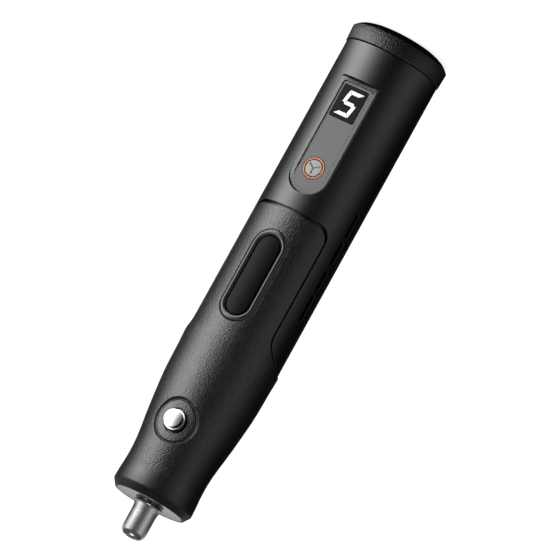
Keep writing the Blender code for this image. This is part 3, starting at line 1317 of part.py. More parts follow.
def leads():
    """Two leads from the motor's terminals and two from the cell's tabs, all to the main board."""
    reach = -(BOARD_FACE + GAP + LEAD_RADIUS)
    motor_z = MOTOR_Z - GAP - TERMINAL_LENGTH / 2
    end_z = BUTTON_Z + TACT_SIZE / 2 + LEAD_END_STANDOFF
    start_y = -(TERMINAL_WIDTH / 2 + GAP)
    for name, side in (("left", -1), ("right", 1)):
        x = side * TERMINAL_SPREAD
        near_x = side * MOTOR_LEAD_SPREAD
        bend_y = reach + LEAD_BEND
        middle_x = (x + near_x) / 2
        route = [
            (x, start_y, motor_z),
            (x, bend_y, motor_z),
            (middle_x, (bend_y + reach) / 2, motor_z - LEAD_BEND / 3),
            (near_x, reach, motor_z - LEAD_BEND),
            (near_x, reach, end_z),
        ]
        placed(f"motor_lead_{name}", wire(route, LEAD_RADIUS), RED_LEAD)

    front_z = FRONT_TAB_Z + TAB_THICKNESS + GAP + LEAD_RADIUS
    rear_z = REAR_TAB_Z - GAP - LEAD_RADIUS
    rear_y = rear_lead_start()
    bend_y = reach + LEAD_BEND
    tab_y = CELL_OFFSET - TAB_LENGTH / 4
    front_lead = [
        (BATTERY_LEAD_SPREAD, tab_y, front_z),
        (BATTERY_LEAD_SPREAD, bend_y, front_z),
        (BATTERY_LEAD_SPREAD, (bend_y + reach) / 2, front_z - LEAD_BEND / 3),
        (BATTERY_LEAD_SPREAD, reach, front_z - LEAD_BEND),
        (BATTERY_LEAD_SPREAD, reach, end_z),
    ]
    display_z = WINDOW_Z + WINDOW_LENGTH / 2 - DISPLAY_LENGTH / 2
    rear_lead = [
        (0, rear_y, rear_z),
        (0, bend_y, rear_z),
        (0, (bend_y + reach) / 2, rear_z + LEAD_BEND / 3),
        (0, reach, rear_z + LEAD_BEND),
        (0, reach, display_z - GAP),
    ]
    placed("battery_lead_front", wire(front_lead, LEAD_RADIUS), RED_LEAD)
    placed("battery_lead_rear", wire(rear_lead, LEAD_RADIUS), BLACK_LEAD)


def main():
    rear_cap()
    housing()
    grip_sleeve()
    nose_plate()
    control_panel()
    display_window()
    speed_button()
    button_ring()
    badge()
    lock_parts()
    collet_and_nut()
    spindle()
    bearing("rear", REAR_BEARING_Z)
    bearing("front", FRONT_BEARING_Z)
    bearing_housing()
    shaft_coupling()
    motor_mount()
    motor_can()
    motor_end_bell()
    motor_magnets()
    motor_armature()
    commutator_and_brushes()
    motor_shaft()
    motor_terminals()
    battery()
    battery_cradle()
    main_board()
    tact_switch()
    display_module()
    charge_parts()
    leads()


main()
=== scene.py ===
"""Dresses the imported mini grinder: shaped covers, controls and nose round its frame, and their finishes."""

import json
import math

import bmesh
import bpy
import numpy as np
from mathutils import Matrix, Vector


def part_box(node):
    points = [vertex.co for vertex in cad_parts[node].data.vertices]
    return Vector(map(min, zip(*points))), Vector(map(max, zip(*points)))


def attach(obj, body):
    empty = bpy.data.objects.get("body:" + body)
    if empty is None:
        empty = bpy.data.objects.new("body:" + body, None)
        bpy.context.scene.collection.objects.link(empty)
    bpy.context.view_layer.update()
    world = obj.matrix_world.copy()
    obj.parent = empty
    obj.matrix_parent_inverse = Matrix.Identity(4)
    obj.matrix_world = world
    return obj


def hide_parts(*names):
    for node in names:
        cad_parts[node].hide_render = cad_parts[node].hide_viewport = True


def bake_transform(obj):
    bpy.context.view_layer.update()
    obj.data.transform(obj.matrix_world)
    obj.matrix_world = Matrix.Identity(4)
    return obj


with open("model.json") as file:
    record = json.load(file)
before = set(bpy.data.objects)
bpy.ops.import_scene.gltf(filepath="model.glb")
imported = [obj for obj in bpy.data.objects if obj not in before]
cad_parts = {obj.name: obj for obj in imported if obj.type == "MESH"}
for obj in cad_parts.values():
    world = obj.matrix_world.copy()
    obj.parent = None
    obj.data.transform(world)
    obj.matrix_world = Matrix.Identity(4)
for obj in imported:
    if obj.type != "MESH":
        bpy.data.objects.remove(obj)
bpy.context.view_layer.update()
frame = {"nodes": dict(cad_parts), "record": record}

bl_info = {
    "name": "Mini grinder dressing",
    "version": (1, 0, 0),
    "blender": (4, 5, 0),
    "location": "3D View > Sidebar > Grinder",
    "description": "Builds the covers, the controls and the nose of a pen-shaped cordless grinder",
    "category": "Mesh",
}

MM = 0.001
TURN = 2 * math.pi
X, Y, Z = range(3)
WELD_DISTANCE = 0.002 * MM
TINY = 1e-15


def low(node, axis):
    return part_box(node)[0][axis]


def high(node, axis):
    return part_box(node)[1][axis]


def halfway(node, axis):
    return (low(node, axis) + high(node, axis)) / 2


# Places that the frame gives
GAP = 0.3 * MM
HOUSING_RADIUS = high("housing", X)
HOUSING_Z = low("housing", Z)
NOSE_Z = high("nose_plate", Z)
GRIP_Z = low("grip_sleeve", Z)
PANEL_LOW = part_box("control_panel")[0]
PANEL_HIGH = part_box("control_panel")[1]
BADGE_MIDDLE = halfway("badge_bezel", Z)
BADGE_RADIUS = high("badge_bezel", X)
BADGE_STRAIGHT = high("badge_bezel", Z) - BADGE_MIDDLE - BADGE_RADIUS
BUTTON_Z = halfway("speed_button", Z)
LOCK_Z = halfway("lock_button", Z)

# The grip's boundary with the housing: straight across the front, a round corner, a straight side,
# and a sweep round to the back at the shoulder
GROOVE = 1.2 * MM
SIDE_GROOVE = 0.5 * MM
GROOVE_Z = GRIP_Z - GROOVE
CORNER_ANGLE = math.radians(40)
CORNER_LENGTH = 5.2 * MM
SIDE_ANGLE = math.radians(58)
SWEEP_LENGTH = 8.8 * MM
SWEEP_REACH = 0.52 * HOUSING_RADIUS
SHOULDER_Z = NOSE_Z - 55.6 * MM
SWEEP_Z = SHOULDER_Z - SWEEP_LENGTH
CORNER_Y = -HOUSING_RADIUS * math.cos(CORNER_ANGLE)
SIDE_Y = -HOUSING_RADIUS * math.cos(SIDE_ANGLE)
CORNER_TURNS = np.radians((12, 24, 36, 48, 60, 72, 90))
SWEEP_TURNS = np.radians((10, 18, 26))

# How the grip narrows from the shoulder to the rim: share of the length, share of the drop
TAPER_SHARES = np.array((
    (0.0, 0.0),
    (0.04, 0.04),
    (0.11, 0.085),
    (0.22, 0.118),
    (0.295, 0.165),
    (0.366, 0.265),
    (0.439, 0.385),
    (0.514, 0.51),
    (0.589, 0.66),
    (0.662, 0.82),
    (0.72, 0.93),
    (0.777, 0.988),
    (0.824, 1.0),
    (0.882, 0.977),
    (0.917, 0.922),
    (0.955, 0.893),
    (1.0, 0.882),
))
SWELL_SHARES = np.array(((0.0, 0.0), (0.3, 0.15), (0.65, 0.65), (1.0, 1.0)))
SWELL_LENGTH = 4 * MM
SHOULDER_PROUD = 0.55 * MM
WAIST_DROP = 3.46 * MM
CHAMFER_LENGTH = 2.3 * MM
CHAMFER_WIDTH = 1.6 * MM
RIM_LENGTH = 0.5 * MM
LIP_WALL = 0.3 * MM
LIP_DEPTH = 1.3 * MM
GRIP_WALL = 1.5 * MM
HOUSING_WALL = 1.8 * MM
SEAT_RADIUS = HOUSING_RADIUS - HOUSING_WALL
SEAT_WALL = 1.5 * MM
POCKET_WALL = 1.5 * MM
BORDER_GAP = 0.16 * MM
BORDER_SEAM = 0.04 * MM

SLOT_ANGLE = math.radians(81)
SLOT_WIDTH = 2 * MM
SLOT_PLACES = ((57.7 * MM, 9.1 * MM), (68.1 * MM, 8.2 * MM), (78.6 * MM, 7.5 * MM), (87.7 * MM, 9.4 * MM))

# The blocks of cells that give way to each hole: the heights that they lie between, and half their angle
POCKET_STOPS = (18.2 * MM, 63.8 * MM)
SLOT_STOPS = (56.5 * MM, 67.45 * MM, 77.45 * MM, 86.9 * MM, 98.5 * MM)
BADGE_STOPS = (74.6 * MM, 110.6 * MM)
LOCK_STOPS = (136.5 * MM, 155.5 * MM)
SEAT_STOPS = (140 * MM, 152 * MM)
POCKET_BLOCK = math.radians(31)
SLOT_BLOCK = math.radians(7.5)
BADGE_BLOCK = math.radians(28)
LOCK_BLOCK = math.radians(37)
SEAT_BLOCK = math.radians(24)

# Past this height the sleeve's levels run straight round the back
MERGE_Z = 124 * MM

# A sheet's angle and height as lengths on the housing
SHEET_SCALE = np.array((HOUSING_RADIUS, 1.0))

# Where the dish round the lock button ends, in mm from its radius, and its share of the depth there
DISH_FILLET = np.array((
    (-0.8, 0.74),
    (-0.65, 0.86),
    (-0.5, 0.97),
    (-0.35, 1.0),
    (-0.2, 0.93),
    (-0.08, 0.66),
    (0.02, 0.28),
    (0.14, 0.06),
    (0.3, 0.0),
))


# Settings


def length(name, description, default):
    return bpy.props.FloatProperty(
        name=name, description=description, default=default, unit="LENGTH", precision=5
    )


def tint(name, description, default):
    return bpy.props.FloatVectorProperty(
        name=name, description=description, default=default, subtype="COLOR", size=3, min=0, max=1
    )


def strength(name, description, default):
    return bpy.props.FloatProperty(name=name, description=description, default=default, min=0)


def power(name, description, default):
    return bpy.props.FloatProperty(name=name, description=description, default=default, unit="POWER")


class GrinderShellSizes(bpy.types.PropertyGroup):
    """Sizes of the rear cap, the housing and the grip sleeve."""

    cap_radius: length("Cap radius", "Radius of the rear cap", high("rear_cap", X))
    cap_length: length("Cap length", "Length of the rear cap that shows", HOUSING_Z - GAP)
    cap_chamfer_width: length("Cap chamfer width", "How far the cap's chamfer comes in", 4.15 * MM)
    cap_chamfer_length: length("Cap chamfer length", "How far the chamfer runs along the cap", 2.54 * MM)
    cap_bulge: length("Cap chamfer bulge", "How far the chamfer swells out", 0.3 * MM)
    cap_taper: length("Cap taper", "How far the cap's side comes in towards the housing", 0.2 * MM)
    seam_edge: length("Seam edge", "Rounding of the housing's edges at its seams", 0.14 * MM)
    grip_edge: length("Grip edge", "Rounding of the soft sleeve's edges", 0.2 * MM)
    dish_radius: length("Dish radius", "Radius of the dish round the lock button", 7.55 * MM)
    dish_depth: length("Dish depth", "Depth of the dish on the tool's middle line", 1.3 * MM)
    dish_side_depth: length("Dish side depth", "Depth of the dish at its two sides", 0.7 * MM)
    lock_hole: length("Lock hole radius", "Radius of the hole in the sleeve round the lock button", 4.2 * MM)


class GrinderFrontSizes(bpy.types.PropertyGroup):
    """Sizes of the control panel, the badge, the lock button and the nose."""

    panel_edge: length("Panel edge", "Rounding of the panel's edges", 0.04 * MM)
    border_width: length("Border width", "Width of the border round the panel", 1.2 * MM)
    border_rise: length("Border rise", "Height of the border's inner edge where it slopes", 0.48 * MM)
    window_corner: length("Window corner", "Corner radius of the display window", 0.6 * MM)
    digit_height: length("Digit height", "Height of the digit on the display", 8.9 * MM)
    digit_width: length("Digit width", "Width of the digit before it leans", 5.3 * MM)
    digit_bar: length("Digit bar", "Width of one bar of the digit", 1.22 * MM)
    ring_width: length("Ring width", "Width of the light ring", 0.65 * MM)
    badge_rim: length("Badge rim", "Width of the badge's raised frame", 2.3 * MM)
    nut_flange: length("Nut flange radius", "Radius of the nut's flange", high("collet_nut", X))


class GrinderColours(bpy.types.PropertyGroup):
    """Colours of the visible finishes."""

    housing: tint("Housing", "Satin black of the housing", (0.0025, 0.0025, 0.0027))
    rubber: tint("Soft sleeve", "Black of the sleeve and the rear cap", (0.0035, 0.0035, 0.0037))
    panel: tint("Panel", "Matte grey of the control panel", (0.07, 0.07, 0.072))
    button: tint("Button", "Light grey of the speed button", (0.36, 0.36, 0.36))
    ring: tint("Light ring", "Orange of the light ring", (0.5, 0.16, 0.07))
    button_steel: tint("Lock button", "Polished steel of the lock button", (0.45, 0.45, 0.46))
    silver: tint("Silver", "Plated metal of the nut, the collet and the lock's coil", (0.8, 0.8, 0.81))
    plate: tint("Nose plate", "Grey metal of the nose plate", (0.58, 0.58, 0.59))


class GrinderStageSettings(bpy.types.PropertyGroup):
    """The floor and the lamps."""

    floor: tint("Floor", "Colour of the floor", (0.5, 0.5, 0.5))
    key_power: power("Key strip", "Power of the long key lamp", 2.6)
    side_power: power("Side strip", "Power of the side lamp", 0.6)
    top_power: power("Top lamp", "Power of the top lamp", 2)
    key_glow: strength("Key glow", "Strength of the key strip in reflections", 8.0)
    side_glow: strength("Side glow", "Strength of the side strip in reflections", 0.8)
    back_glow: strength("Back glow", "Strength of the back strip in reflections", 0.14)
    metal_key_glow: strength("Nose key glow", "Strength of the key strip that the nose reflects", 0.95)
    metal_side_glow: strength("Nose side glow", "Strength of the side strip that the nose reflects", 0.36)
    metal_back_glow: strength("Nose back glow", "Strength of the back strip that the nose reflects", 0.5)
    fill: strength("Fill", "Strength of the sky's fill light", 0.45)


# Surfaces


def unit(vectors):
    """Each vector over its own length."""
    return vectors / np.maximum(np.linalg.norm(vectors, axis=-1, keepdims=True), TINY)


def ribbon(rows, columns, closed=True):
    """Quads between neighbouring loops of points, and from the last loop to the first if closed.

    Corner numbers are row * columns + column, and the column after the last is the first.
    """
    number = np.arange(rows * columns).reshape(rows, columns)
    if closed:
        number = np.vstack((number, number[:1]))
    near, far = number[:-1], number[1:]
    return np.stack((near, np.roll(near, -1, 1), np.roll(far, -1, 1), far), -1).reshape(-1, 4)


def quarter(steps):
    """Angles of a quarter turn."""
    return np.linspace(0, math.pi / 2, steps + 1)


def polar(a, r=1.0):
    """Points (r cos a, r sin a)."""
    return np.stack((r * np.cos(a), r * np.sin(a)), -1)


def level_ring(ring, height):
    """A flat ring of points with a height as its third value."""
    return np.column_stack((ring, np.full(len(ring), height)))


def travelled(path):
    """The distance along a path at each of its points."""
    return np.concatenate(([0], np.cumsum(np.linalg.norm(np.diff(path, axis=0), axis=1))))


def reach_at(bearing, spoke):
    """How far an outline, given from its middle, reaches at each bearing."""
    return np.interp(bearing, np.arctan2(spoke[:, 1], spoke[:, 0]), np.hypot(*spoke.T), period=TURN)


def on_cylinder(angle, radius, z):
    """Bearings and radii laid round Z: (r sin a, -r cos a, z)."""
    return np.stack((radius * np.sin(angle), -radius * np.cos(angle), z), -1)


def softened(corners, setbacks, steps=4):
    """A closed outline whose corners are rounded: each corner P becomes the curve
    (1-t)^2 A + 2t(1-t) P + t^2 B, where A and B lie the setback away from P on its two sides."""
    corners = np.asarray(corners, float)
    setbacks = np.broadcast_to(np.asarray(setbacks, float), len(corners))[:, None]
    before = corners + unit(np.roll(corners, 1, 0) - corners) * setbacks
    after = corners + unit(np.roll(corners, -1, 0) - corners) * setbacks
    t = np.linspace(0, 1, steps + 1)[None, :, None]
    curve = (1 - t) ** 2 * before[:, None] + 2 * t * (1 - t) * corners[:, None] + t**2 * after[:, None]
    return curve.reshape(-1, 2)


def turned(profile, steps=128):
    """Loops of a profile of (r, z) turned round Z."""
    a = np.arange(steps) * TURN / steps
    return on_cylinder(a, profile[:, 0:1], profile[:, 1:2] + 0 * a)


def to_front(points, height):
    """Lays points turned round Z about the front's axis: (x, y, z) goes to (x, -z, height + y)."""
    return np.stack((points[..., 0], -points[..., 2], height + points[..., 1]), -1)


def stadium(half_length, end_steps=24, side_steps=24):
    """Middles and outward directions of a slot with round ends, its length along its second axis.
    A loop of radius r is middle + direction * r; the middles lie on the slot's centre line."""
    turn = np.linspace(0, math.pi, end_steps + 1)
    travel = np.linspace(1, -1, side_steps + 1)[1:-1] * half_length
    upper = np.stack((np.zeros_like(turn), half_length + 0 * turn), 1)
    left = np.stack((np.zeros_like(travel), travel), 1)
    out, sideways = polar(turn), np.tile((-1.0, 0.0), (len(travel), 1))
    return np.concatenate((upper, left, -upper, -left)), np.concatenate((out, sideways, -out, -sideways))


def across_tool(points):
    """Turns a slot's points so that its length runs across the tool: (x, y) goes to (y, -x)."""
    return np.stack((points[..., 1], -points[..., 0]), -1)


def weld(points, quads):
    """The first point of each group that share a place, and the quads renumbered to them."""
    key = np.round(points / WELD_DISTANCE).astype(np.int64)
    _, first, inverse = np.unique(key, axis=0, return_index=True, return_inverse=True)
    faces = inverse.ravel()[quads]
    folded = (faces[:, 0] == faces[:, 2]) | (faces[:, 1] == faces[:, 3])
    doubled = (faces == np.roll(faces, -1, 1)).sum(1)
    return first, faces[(doubled < 2) & ~folded]


def joined(*shapes):
    """Several (points, quads) as one."""
    offsets = np.cumsum([0] + [len(points) for points, _ in shapes[:-1]])
    points = np.concatenate([points.reshape(-1, 3) for points, _ in shapes])
    return points, np.concatenate([quads + offset for (_, quads), offset in zip(shapes, offsets)])


def solid(loops, closed=True):
    """A closed skin over loops of points, one loop after another."""
    rows, columns = loops.shape[:2]
    return loops.reshape(-1, 3), ribbon(rows, columns, closed)


def sheet(angles, heights, tiles=()):
    """A grid on (angle, height, drop), where each tile's block of cells gives way to rings round an outline.

    Returns the parameters of the points and their quads.
    """
    rows, columns = angles.shape
    number = np.arange(rows * columns).reshape(rows, columns)
    kept = np.ones((rows - 1, columns - 1), bool)
    params = np.stack((angles.ravel(), heights.ravel(), np.zeros(rows * columns)), 1)
    parts, faces, total = [params], [], rows * columns
    for (r0, r1, c0, c1), middle, outlines, shares in tiles:
        kept[r0:r1, c0:c1] = False
        near, far = (number[r0, c0:c1], number[r0:r1, c1]), (number[r1, c1:c0:-1], number[r1:r0:-1, c0])
        rim = np.concatenate(near + far)
        rings = tile_rings(params[rim], middle, outlines, shares)
        parts.append(rings.reshape(-1, 3))
        faces.append(ribbon(*rings.shape[:2], closed=False) + total)
        faces.append(transition(rim, total + (len(rings) - 1) * rings.shape[1]))
        total += len(parts[-1])
    corner = number[:-1, :-1][kept]
    grid = np.stack((corner, corner + 1, corner + columns + 1, corner + columns), 1)
    return np.concatenate(parts), np.concatenate([grid] + faces)


FINER = 3


def tile_rings(rim, middle, outlines, shares):
    """Rings of parameters from the outlines out to a block's rim.

    A ray leaves the middle through each point of the rim, the rim being cut three times finer. Its ring
    point on an outline is where it meets it, and the rings beyond the last outline are shares of the way
    to the rim.
    """
    step = (np.roll(rim, -1, 0) - rim)[:, None] * (np.arange(FINER) / FINER)[None, :, None]
    edge = (rim[:, None] + step).reshape(-1, 3)
    ray = (edge[:, :2] - middle) * SHEET_SCALE
    bearing = np.arctan2(ray[:, 1], ray[:, 0])
    rings = []
    for outline, drop in outlines:
        reach = reach_at(bearing, (outline - middle) * SHEET_SCALE)
        rings.append(level_ring(middle + polar(bearing, reach) / SHEET_SCALE, drop))
    last = rings[-1]
    return np.array(rings + [last + (edge - last) * share for share in shares])


def transition(rim, start):
    """Faces from a rim to a ring three times finer: a quad and two triangles at each step of the rim."""
    following = np.roll(rim, -1)
    first = start + FINER * np.arange(len(rim))
    last = start + FINER * ((np.arange(len(rim)) + 1) % len(rim))
    middle = np.stack((rim, following, first + 2, first + 1), 1)
    near = np.stack((rim, first + 1, first, first), 1)
    far = np.stack((following, last, first + 2, first + 2), 1)
    return np.concatenate((middle, near, far))


def shell(outer, quads, inner, sink, rounding, steps=3):
    """A closed wall behind an outer sheet.

    The sheet's rim is drawn in by the rounding r, in the surface. From there rows at turn t stand
    r sin t outwards and r (1 - cos t) along the sink direction, and the last row joins the inner sheet.
    """
    first, faces = weld(outer, quads)
    rounding = np.broadcast_to(rounding, len(outer))[first]
    outer, inner, sink = outer[first], inner[first], np.broadcast_to(sink, outer.shape)[first]
    away = outer[faces].mean(1) - inner[faces].mean(1)
    normal = np.cross(outer[faces[:, 2]] - outer[faces[:, 0]], outer[faces[:, 3]] - outer[faces[:, 1]])
    turned_in = (normal * away).sum(1) < 0
    faces[turned_in] = faces[turned_in][:, ::-1]
    normal[turned_in] *= -1
    up = np.zeros_like(outer)
    for corner in range(4):
        np.add.at(up, faces[:, corner], normal)
    start, end = faces.ravel(), np.roll(faces, -1, 1).ravel()
    real = start != end
    start, end = start[real], end[real]
    key = np.minimum(start, end) * len(outer) + np.maximum(start, end)
    _, inverse, uses = np.unique(key, return_inverse=True, return_counts=True)
    single = uses[inverse] == 1
    start, end = start[single], end[single]
    along = np.zeros_like(outer)
    step = unit(outer[end] - outer[start])
    np.add.at(along, start, step)
    np.add.at(along, end, step)
    rim = np.unique(start)
    outwards = unit(np.cross(unit(along[rim]), unit(up[rim])))
    base = outer.copy()
    r = rounding[rim][:, None]
    base[rim] -= outwards * r
    t = quarter(steps)[1:, None, None]
    rows = base[rim] + outwards * r * np.sin(t) + sink[rim] * r * (1 - np.cos(t))
    size, count = len(outer), len(rim)
    points = np.concatenate((base, rows.reshape(-1, 3), inner))
    a, b = np.searchsorted(rim, start), np.searchsorted(rim, end)
    chain_a = [start] + [size + k * count + a for k in range(steps)] + [size + steps * count + start]
    chain_b = [end] + [size + k * count + b for k in range(steps)] + [size + steps * count + end]
    walls = [np.stack((p, q, s, r), 1) for p, q, r, s in zip(chain_a, chain_b, chain_a[1:], chain_b[1:])]
    return points, np.concatenate([faces, faces[:, ::-1] + size + steps * count] + walls)


def placed(name, data):
    """A new object in the scene that holds the data."""
    made = bpy.data.objects.new(name, data)
    bpy.context.scene.collection.objects.link(made)
    return made


def add_piece(name, shape, material, body, slot, *replaced):
    """Makes a mesh object of welded points and quads, with outward faces and area-weighted normals. It rides
    on a body, unless none is given."""
    points, quads = shape
    first, faces = weld(points, quads)
    doubled = faces == np.roll(faces, -1, 1)
    whole = faces[~doubled.any(1)]
    triangles = faces[doubled.any(1)][~doubled[doubled.any(1)]].reshape(-1, 3)
    mesh = bpy.data.meshes.new(name)
    mesh.from_pydata(points[first].tolist(), [], whole.tolist() + triangles.tolist())
    work = bmesh.new()
    work.from_mesh(mesh)
    bmesh.ops.recalc_face_normals(work, faces=work.faces)
    work.to_mesh(mesh)
    work.free()
    mesh.validate()
    mesh.shade_smooth()
    mesh.update()
    count = len(mesh.polygons)
    normals, areas, corners = np.empty(3 * count), np.empty(count), np.empty(count, np.int32)
    mesh.polygons.foreach_get("normal", normals)
    mesh.polygons.foreach_get("area", areas)
    mesh.polygons.foreach_get("loop_total", corners)
    owners = np.empty(len(mesh.loops), np.int32)
    mesh.loops.foreach_get("vertex_index", owners)
    weighted = np.repeat(normals.reshape(-1, 3) * areas[:, None], corners, axis=0)
    total = np.zeros((len(mesh.vertices), 3))
    np.add.at(total, owners, weighted)
    mesh.normals_split_custom_set_from_vertices(unit(total).tolist())
    made = placed(name, mesh)
    mesh.materials.append(material)
    if body:
        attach(made, body)
    if replaced:
        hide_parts(*replaced)
    return made


# Finishes


BAND_FADE = 0.02 * MM
# Near-black colour painted on as shade, where a surface should fall dark from shadow or a dark reflection
PAINTED_SHADE = (0.02, 0.02, 0.02)
WHITE = (1, 1, 1, 1)
BLACK = (0, 0, 0, 1)


def principled(name):
    """A new material, its node tree and its shader."""
    made = bpy.data.materials.new(name)
    made.use_nodes = True
    return made, made.node_tree, made.node_tree.nodes["Principled BSDF"]


def feed(tree, node, values):
    """Gives a node's inputs their values. A value that is another node's output is linked."""
    for name, value in values.items():
        if isinstance(value, bpy.types.NodeSocket):
            tree.links.new(value, node.inputs[name])
        else:
            node.inputs[name].default_value = value


def add_node(tree, kind, values, **settings):
    """A new node with its settings, its inputs fed with the values."""
    made = tree.nodes.new(kind)
    for name, value in settings.items():
        setattr(made, name, value)
    feed(tree, made, values)
    return made


class Finish:
    """A Principled material whose textures read Object coordinates, in metres."""

    def __init__(self, name, colour, roughness, metallic=0.0, specular=0.5):
        self.made, self.tree, self.shader = principled(name)
        self.colour, self.roughness = colour, roughness
        self.set({"Base Color": (*colour, 1), "Roughness": roughness})
        self.set({"Metallic": metallic, "Specular IOR Level": specular})
        self.places = self.node("ShaderNodeTexCoord", {}).outputs["Object"]

    def set(self, values):
        feed(self.tree, self.shader, values)
        return self

    def node(self, kind, values, **settings):
        return add_node(self.tree, kind, values, **settings)

    def noise(self, cell, detail=2.0, places=None):
        """Noise whose lumps are about one cell across."""
        values = {"Scale": 1 / cell, "Detail": detail, "Vector": places or self.places}
        return self.node("ShaderNodeTexNoise", values).outputs["Fac"]

    def ranged(self, value, least, most, start=0.0, end=1.0):
        """The value carried from the range start to end to the range least to most, and kept inside it."""
        values = {"Value": value, "From Min": start, "From Max": end, "To Min": least, "To Max": most}
        return self.node("ShaderNodeMapRange", values).outputs["Result"]

    def times(self, a, b):
        return self.node("ShaderNodeMath", {0: a, 1: b}, operation="MULTIPLY").outputs["Value"]

    def axis(self, name):
        return self.node("ShaderNodeSeparateXYZ", {"Vector": self.places}).outputs[name]

    def mottle(self, cell, spread):
        """The colour drifts a little lighter and darker."""
        dark, light = ((*(min(c * share, 1) for c in self.colour), 1) for share in (1 - spread, 1 + spread))
        return self.mixed(self.noise(cell), dark, light)

    def mixed(self, share, a, b):
        """The base colour goes from a to b with the share."""
        mix = self.node("ShaderNodeMix", {"Factor": share, "A": a, "B": b}, data_type="RGBA")
        return self.set({"Base Color": mix.outputs["Result"]})

    def band(self, name, start, end, colour):
        """Another colour between two places along an axis."""
        axis = self.axis(name)
        inside = self.times(
            self.ranged(axis, 0.0, 1.0, start - BAND_FADE, start),
            self.ranged(axis, 1.0, 0.0, end, end + BAND_FADE),
        )
        return self.mixed(inside, self.shader.inputs["Base Color"].links[0].from_socket, (*colour, 1))

    def haze(self, cell, spread):
        """The roughness drifts a little up and down."""
        least, most = self.roughness - spread, self.roughness + spread
        return self.set({"Roughness": self.ranged(self.noise(cell, 3), least, most, 0.3, 0.7)})

    def bump(self, height, depth):
        made = self.node("ShaderNodeBump", {"Distance": depth, "Strength": 1.0, "Height": height})
        return self.set({"Normal": made.outputs["Normal"]})

    def grain(self, cell, depth):
        return self.bump(self.noise(cell, 3), depth)

    def leather(self, cell, depth, ends=None):
        """Pebbled grain: cells whose borders sink, uneven by a finer noise, faded out past an end height."""
        values = {"Vector": self.places, "Scale": 1 / cell, "Smoothness": 0.6, "Randomness": 1.0}
        cells = self.node("ShaderNodeTexVoronoi", values, feature="SMOOTH_F1")
        domes = self.ranged(cells.outputs["Distance"], 1.0, 0.0)
        height = self.times(domes, self.ranged(self.noise(1.2 * cell, 1), 0.5, 1.0, 0.35, 0.65))
        if ends:
            height = self.times(height, self.ranged(self.axis("Z"), 1.0, 0.0, *ends))
        return self.bump(height, depth)

    def lathe_lines(self, cell, depth):
        """Fine rings of a turned metal face: noise on the distance from the axis and the height."""
        flat = self.node("ShaderNodeVectorMath", {0: self.places, 1: (1, 1, 0)}, operation="MULTIPLY")
        distance = self.node("ShaderNodeVectorMath", {0: flat.outputs["Vector"]}, operation="LENGTH")
        rings = self.node("ShaderNodeCombineXYZ", {"X": distance.outputs["Value"], "Y": self.axis("Z")})
        return self.bump(self.noise(cell, 2, rings.outputs["Vector"]), depth)


def finishes(colours):
    """The materials of the visible pieces by name."""
    nut_z, button_y = low("collet_nut", Z), low("lock_button", Y)
    made = {
        "housing": Finish("satin_black_plastic", colours.housing, 0.3)
        .mottle(9 * MM, 0.08).haze(3 * MM, 0.02).grain(0.22 * MM, 0.0015 * MM),
        "cap": Finish("grained_black_plastic", colours.rubber, 0.38, specular=0.4)
        .mottle(4 * MM, 0.1).haze(2 * MM, 0.03).leather(0.6 * MM, 0.16 * MM),
        "grip": Finish("soft_black_rubber", colours.rubber, 0.33)
        .mottle(5 * MM, 0.12).haze(2 * MM, 0.03).leather(0.5 * MM, 0.12 * MM, (163 * MM, 164 * MM)),
        "panel": Finish("matte_grey_plastic", colours.panel, 0.5)
        .mottle(3 * MM, 0.05).haze(2 * MM, 0.03).grain(0.12 * MM, 0.003 * MM),
        "window": Finish("smoked_window", (0.006, 0.006, 0.007), 0.1, specular=0.06)
        .mottle(4 * MM, 0.1).haze(5 * MM, 0.02),
        "digit": Finish("lit_digit", (0.9, 0.9, 0.9), 0.5).mottle(1.5 * MM, 0.05).haze(1 * MM, 0.05)
        .set({"Emission Color": WHITE, "Emission Strength": 0.35}),
        "button": Finish("light_grey_plastic", colours.button, 0.45)
        .mottle(2 * MM, 0.05).haze(1 * MM, 0.03).grain(0.1 * MM, 0.002 * MM),
        "ring": Finish("orange_light_ring", colours.ring, 0.4).mottle(2 * MM, 0.08).haze(1 * MM, 0.04),
        "bezel": Finish("satin_black_trim", colours.housing, 0.34)
        .mottle(4 * MM, 0.08).haze(2 * MM, 0.03).grain(0.2 * MM, 0.002 * MM),
        "badge": Finish("gloss_black_plate", (0.004, 0.004, 0.0045), 0.2, specular=0.05)
        .mottle(5 * MM, 0.1).haze(4 * MM, 0.03),
        "silver": Finish("plated_steel", colours.silver, 0.2, 1.0)
        .mottle(3 * MM, 0.04).haze(1.5 * MM, 0.04).lathe_lines(0.08 * MM, 0.0006 * MM),
        # The nut's foot gets a near-black band of base colour: painted shade for the shadow gap where the nut
        # meets the nose plate
        "nut": Finish("plated_steel_nut", colours.silver, 0.2, 1.0)
        .mottle(3 * MM, 0.04).band("Z", nut_z, nut_z + 0.42 * MM, PAINTED_SHADE)
        .haze(1.5 * MM, 0.04).lathe_lines(0.08 * MM, 0.0006 * MM),
        # The lock button's side below its disc gets a near-black band of base colour: painted shade for the
        # dark reflection there
        "chrome": Finish("polished_steel", colours.button_steel, 0.27, 1.0)
        .mottle(3 * MM, 0.03).band("Y", button_y + 0.55 * MM, button_y + 2.37 * MM, PAINTED_SHADE)
        .haze(1 * MM, 0.03).grain(0.3 * MM, 0.0004 * MM),
        "plate": Finish("nose_aluminium", colours.plate, 0.2, 1.0)
        .mottle(3 * MM, 0.05).haze(1.5 * MM, 0.05).lathe_lines(0.1 * MM, 0.0003 * MM),
        "nickel": Finish("nickel_shell", (0.6, 0.58, 0.54), 0.28, 1.0)
        .mottle(3 * MM, 0.06).haze(1 * MM, 0.05),
    }
    return {name: finish.made for name, finish in made.items()}


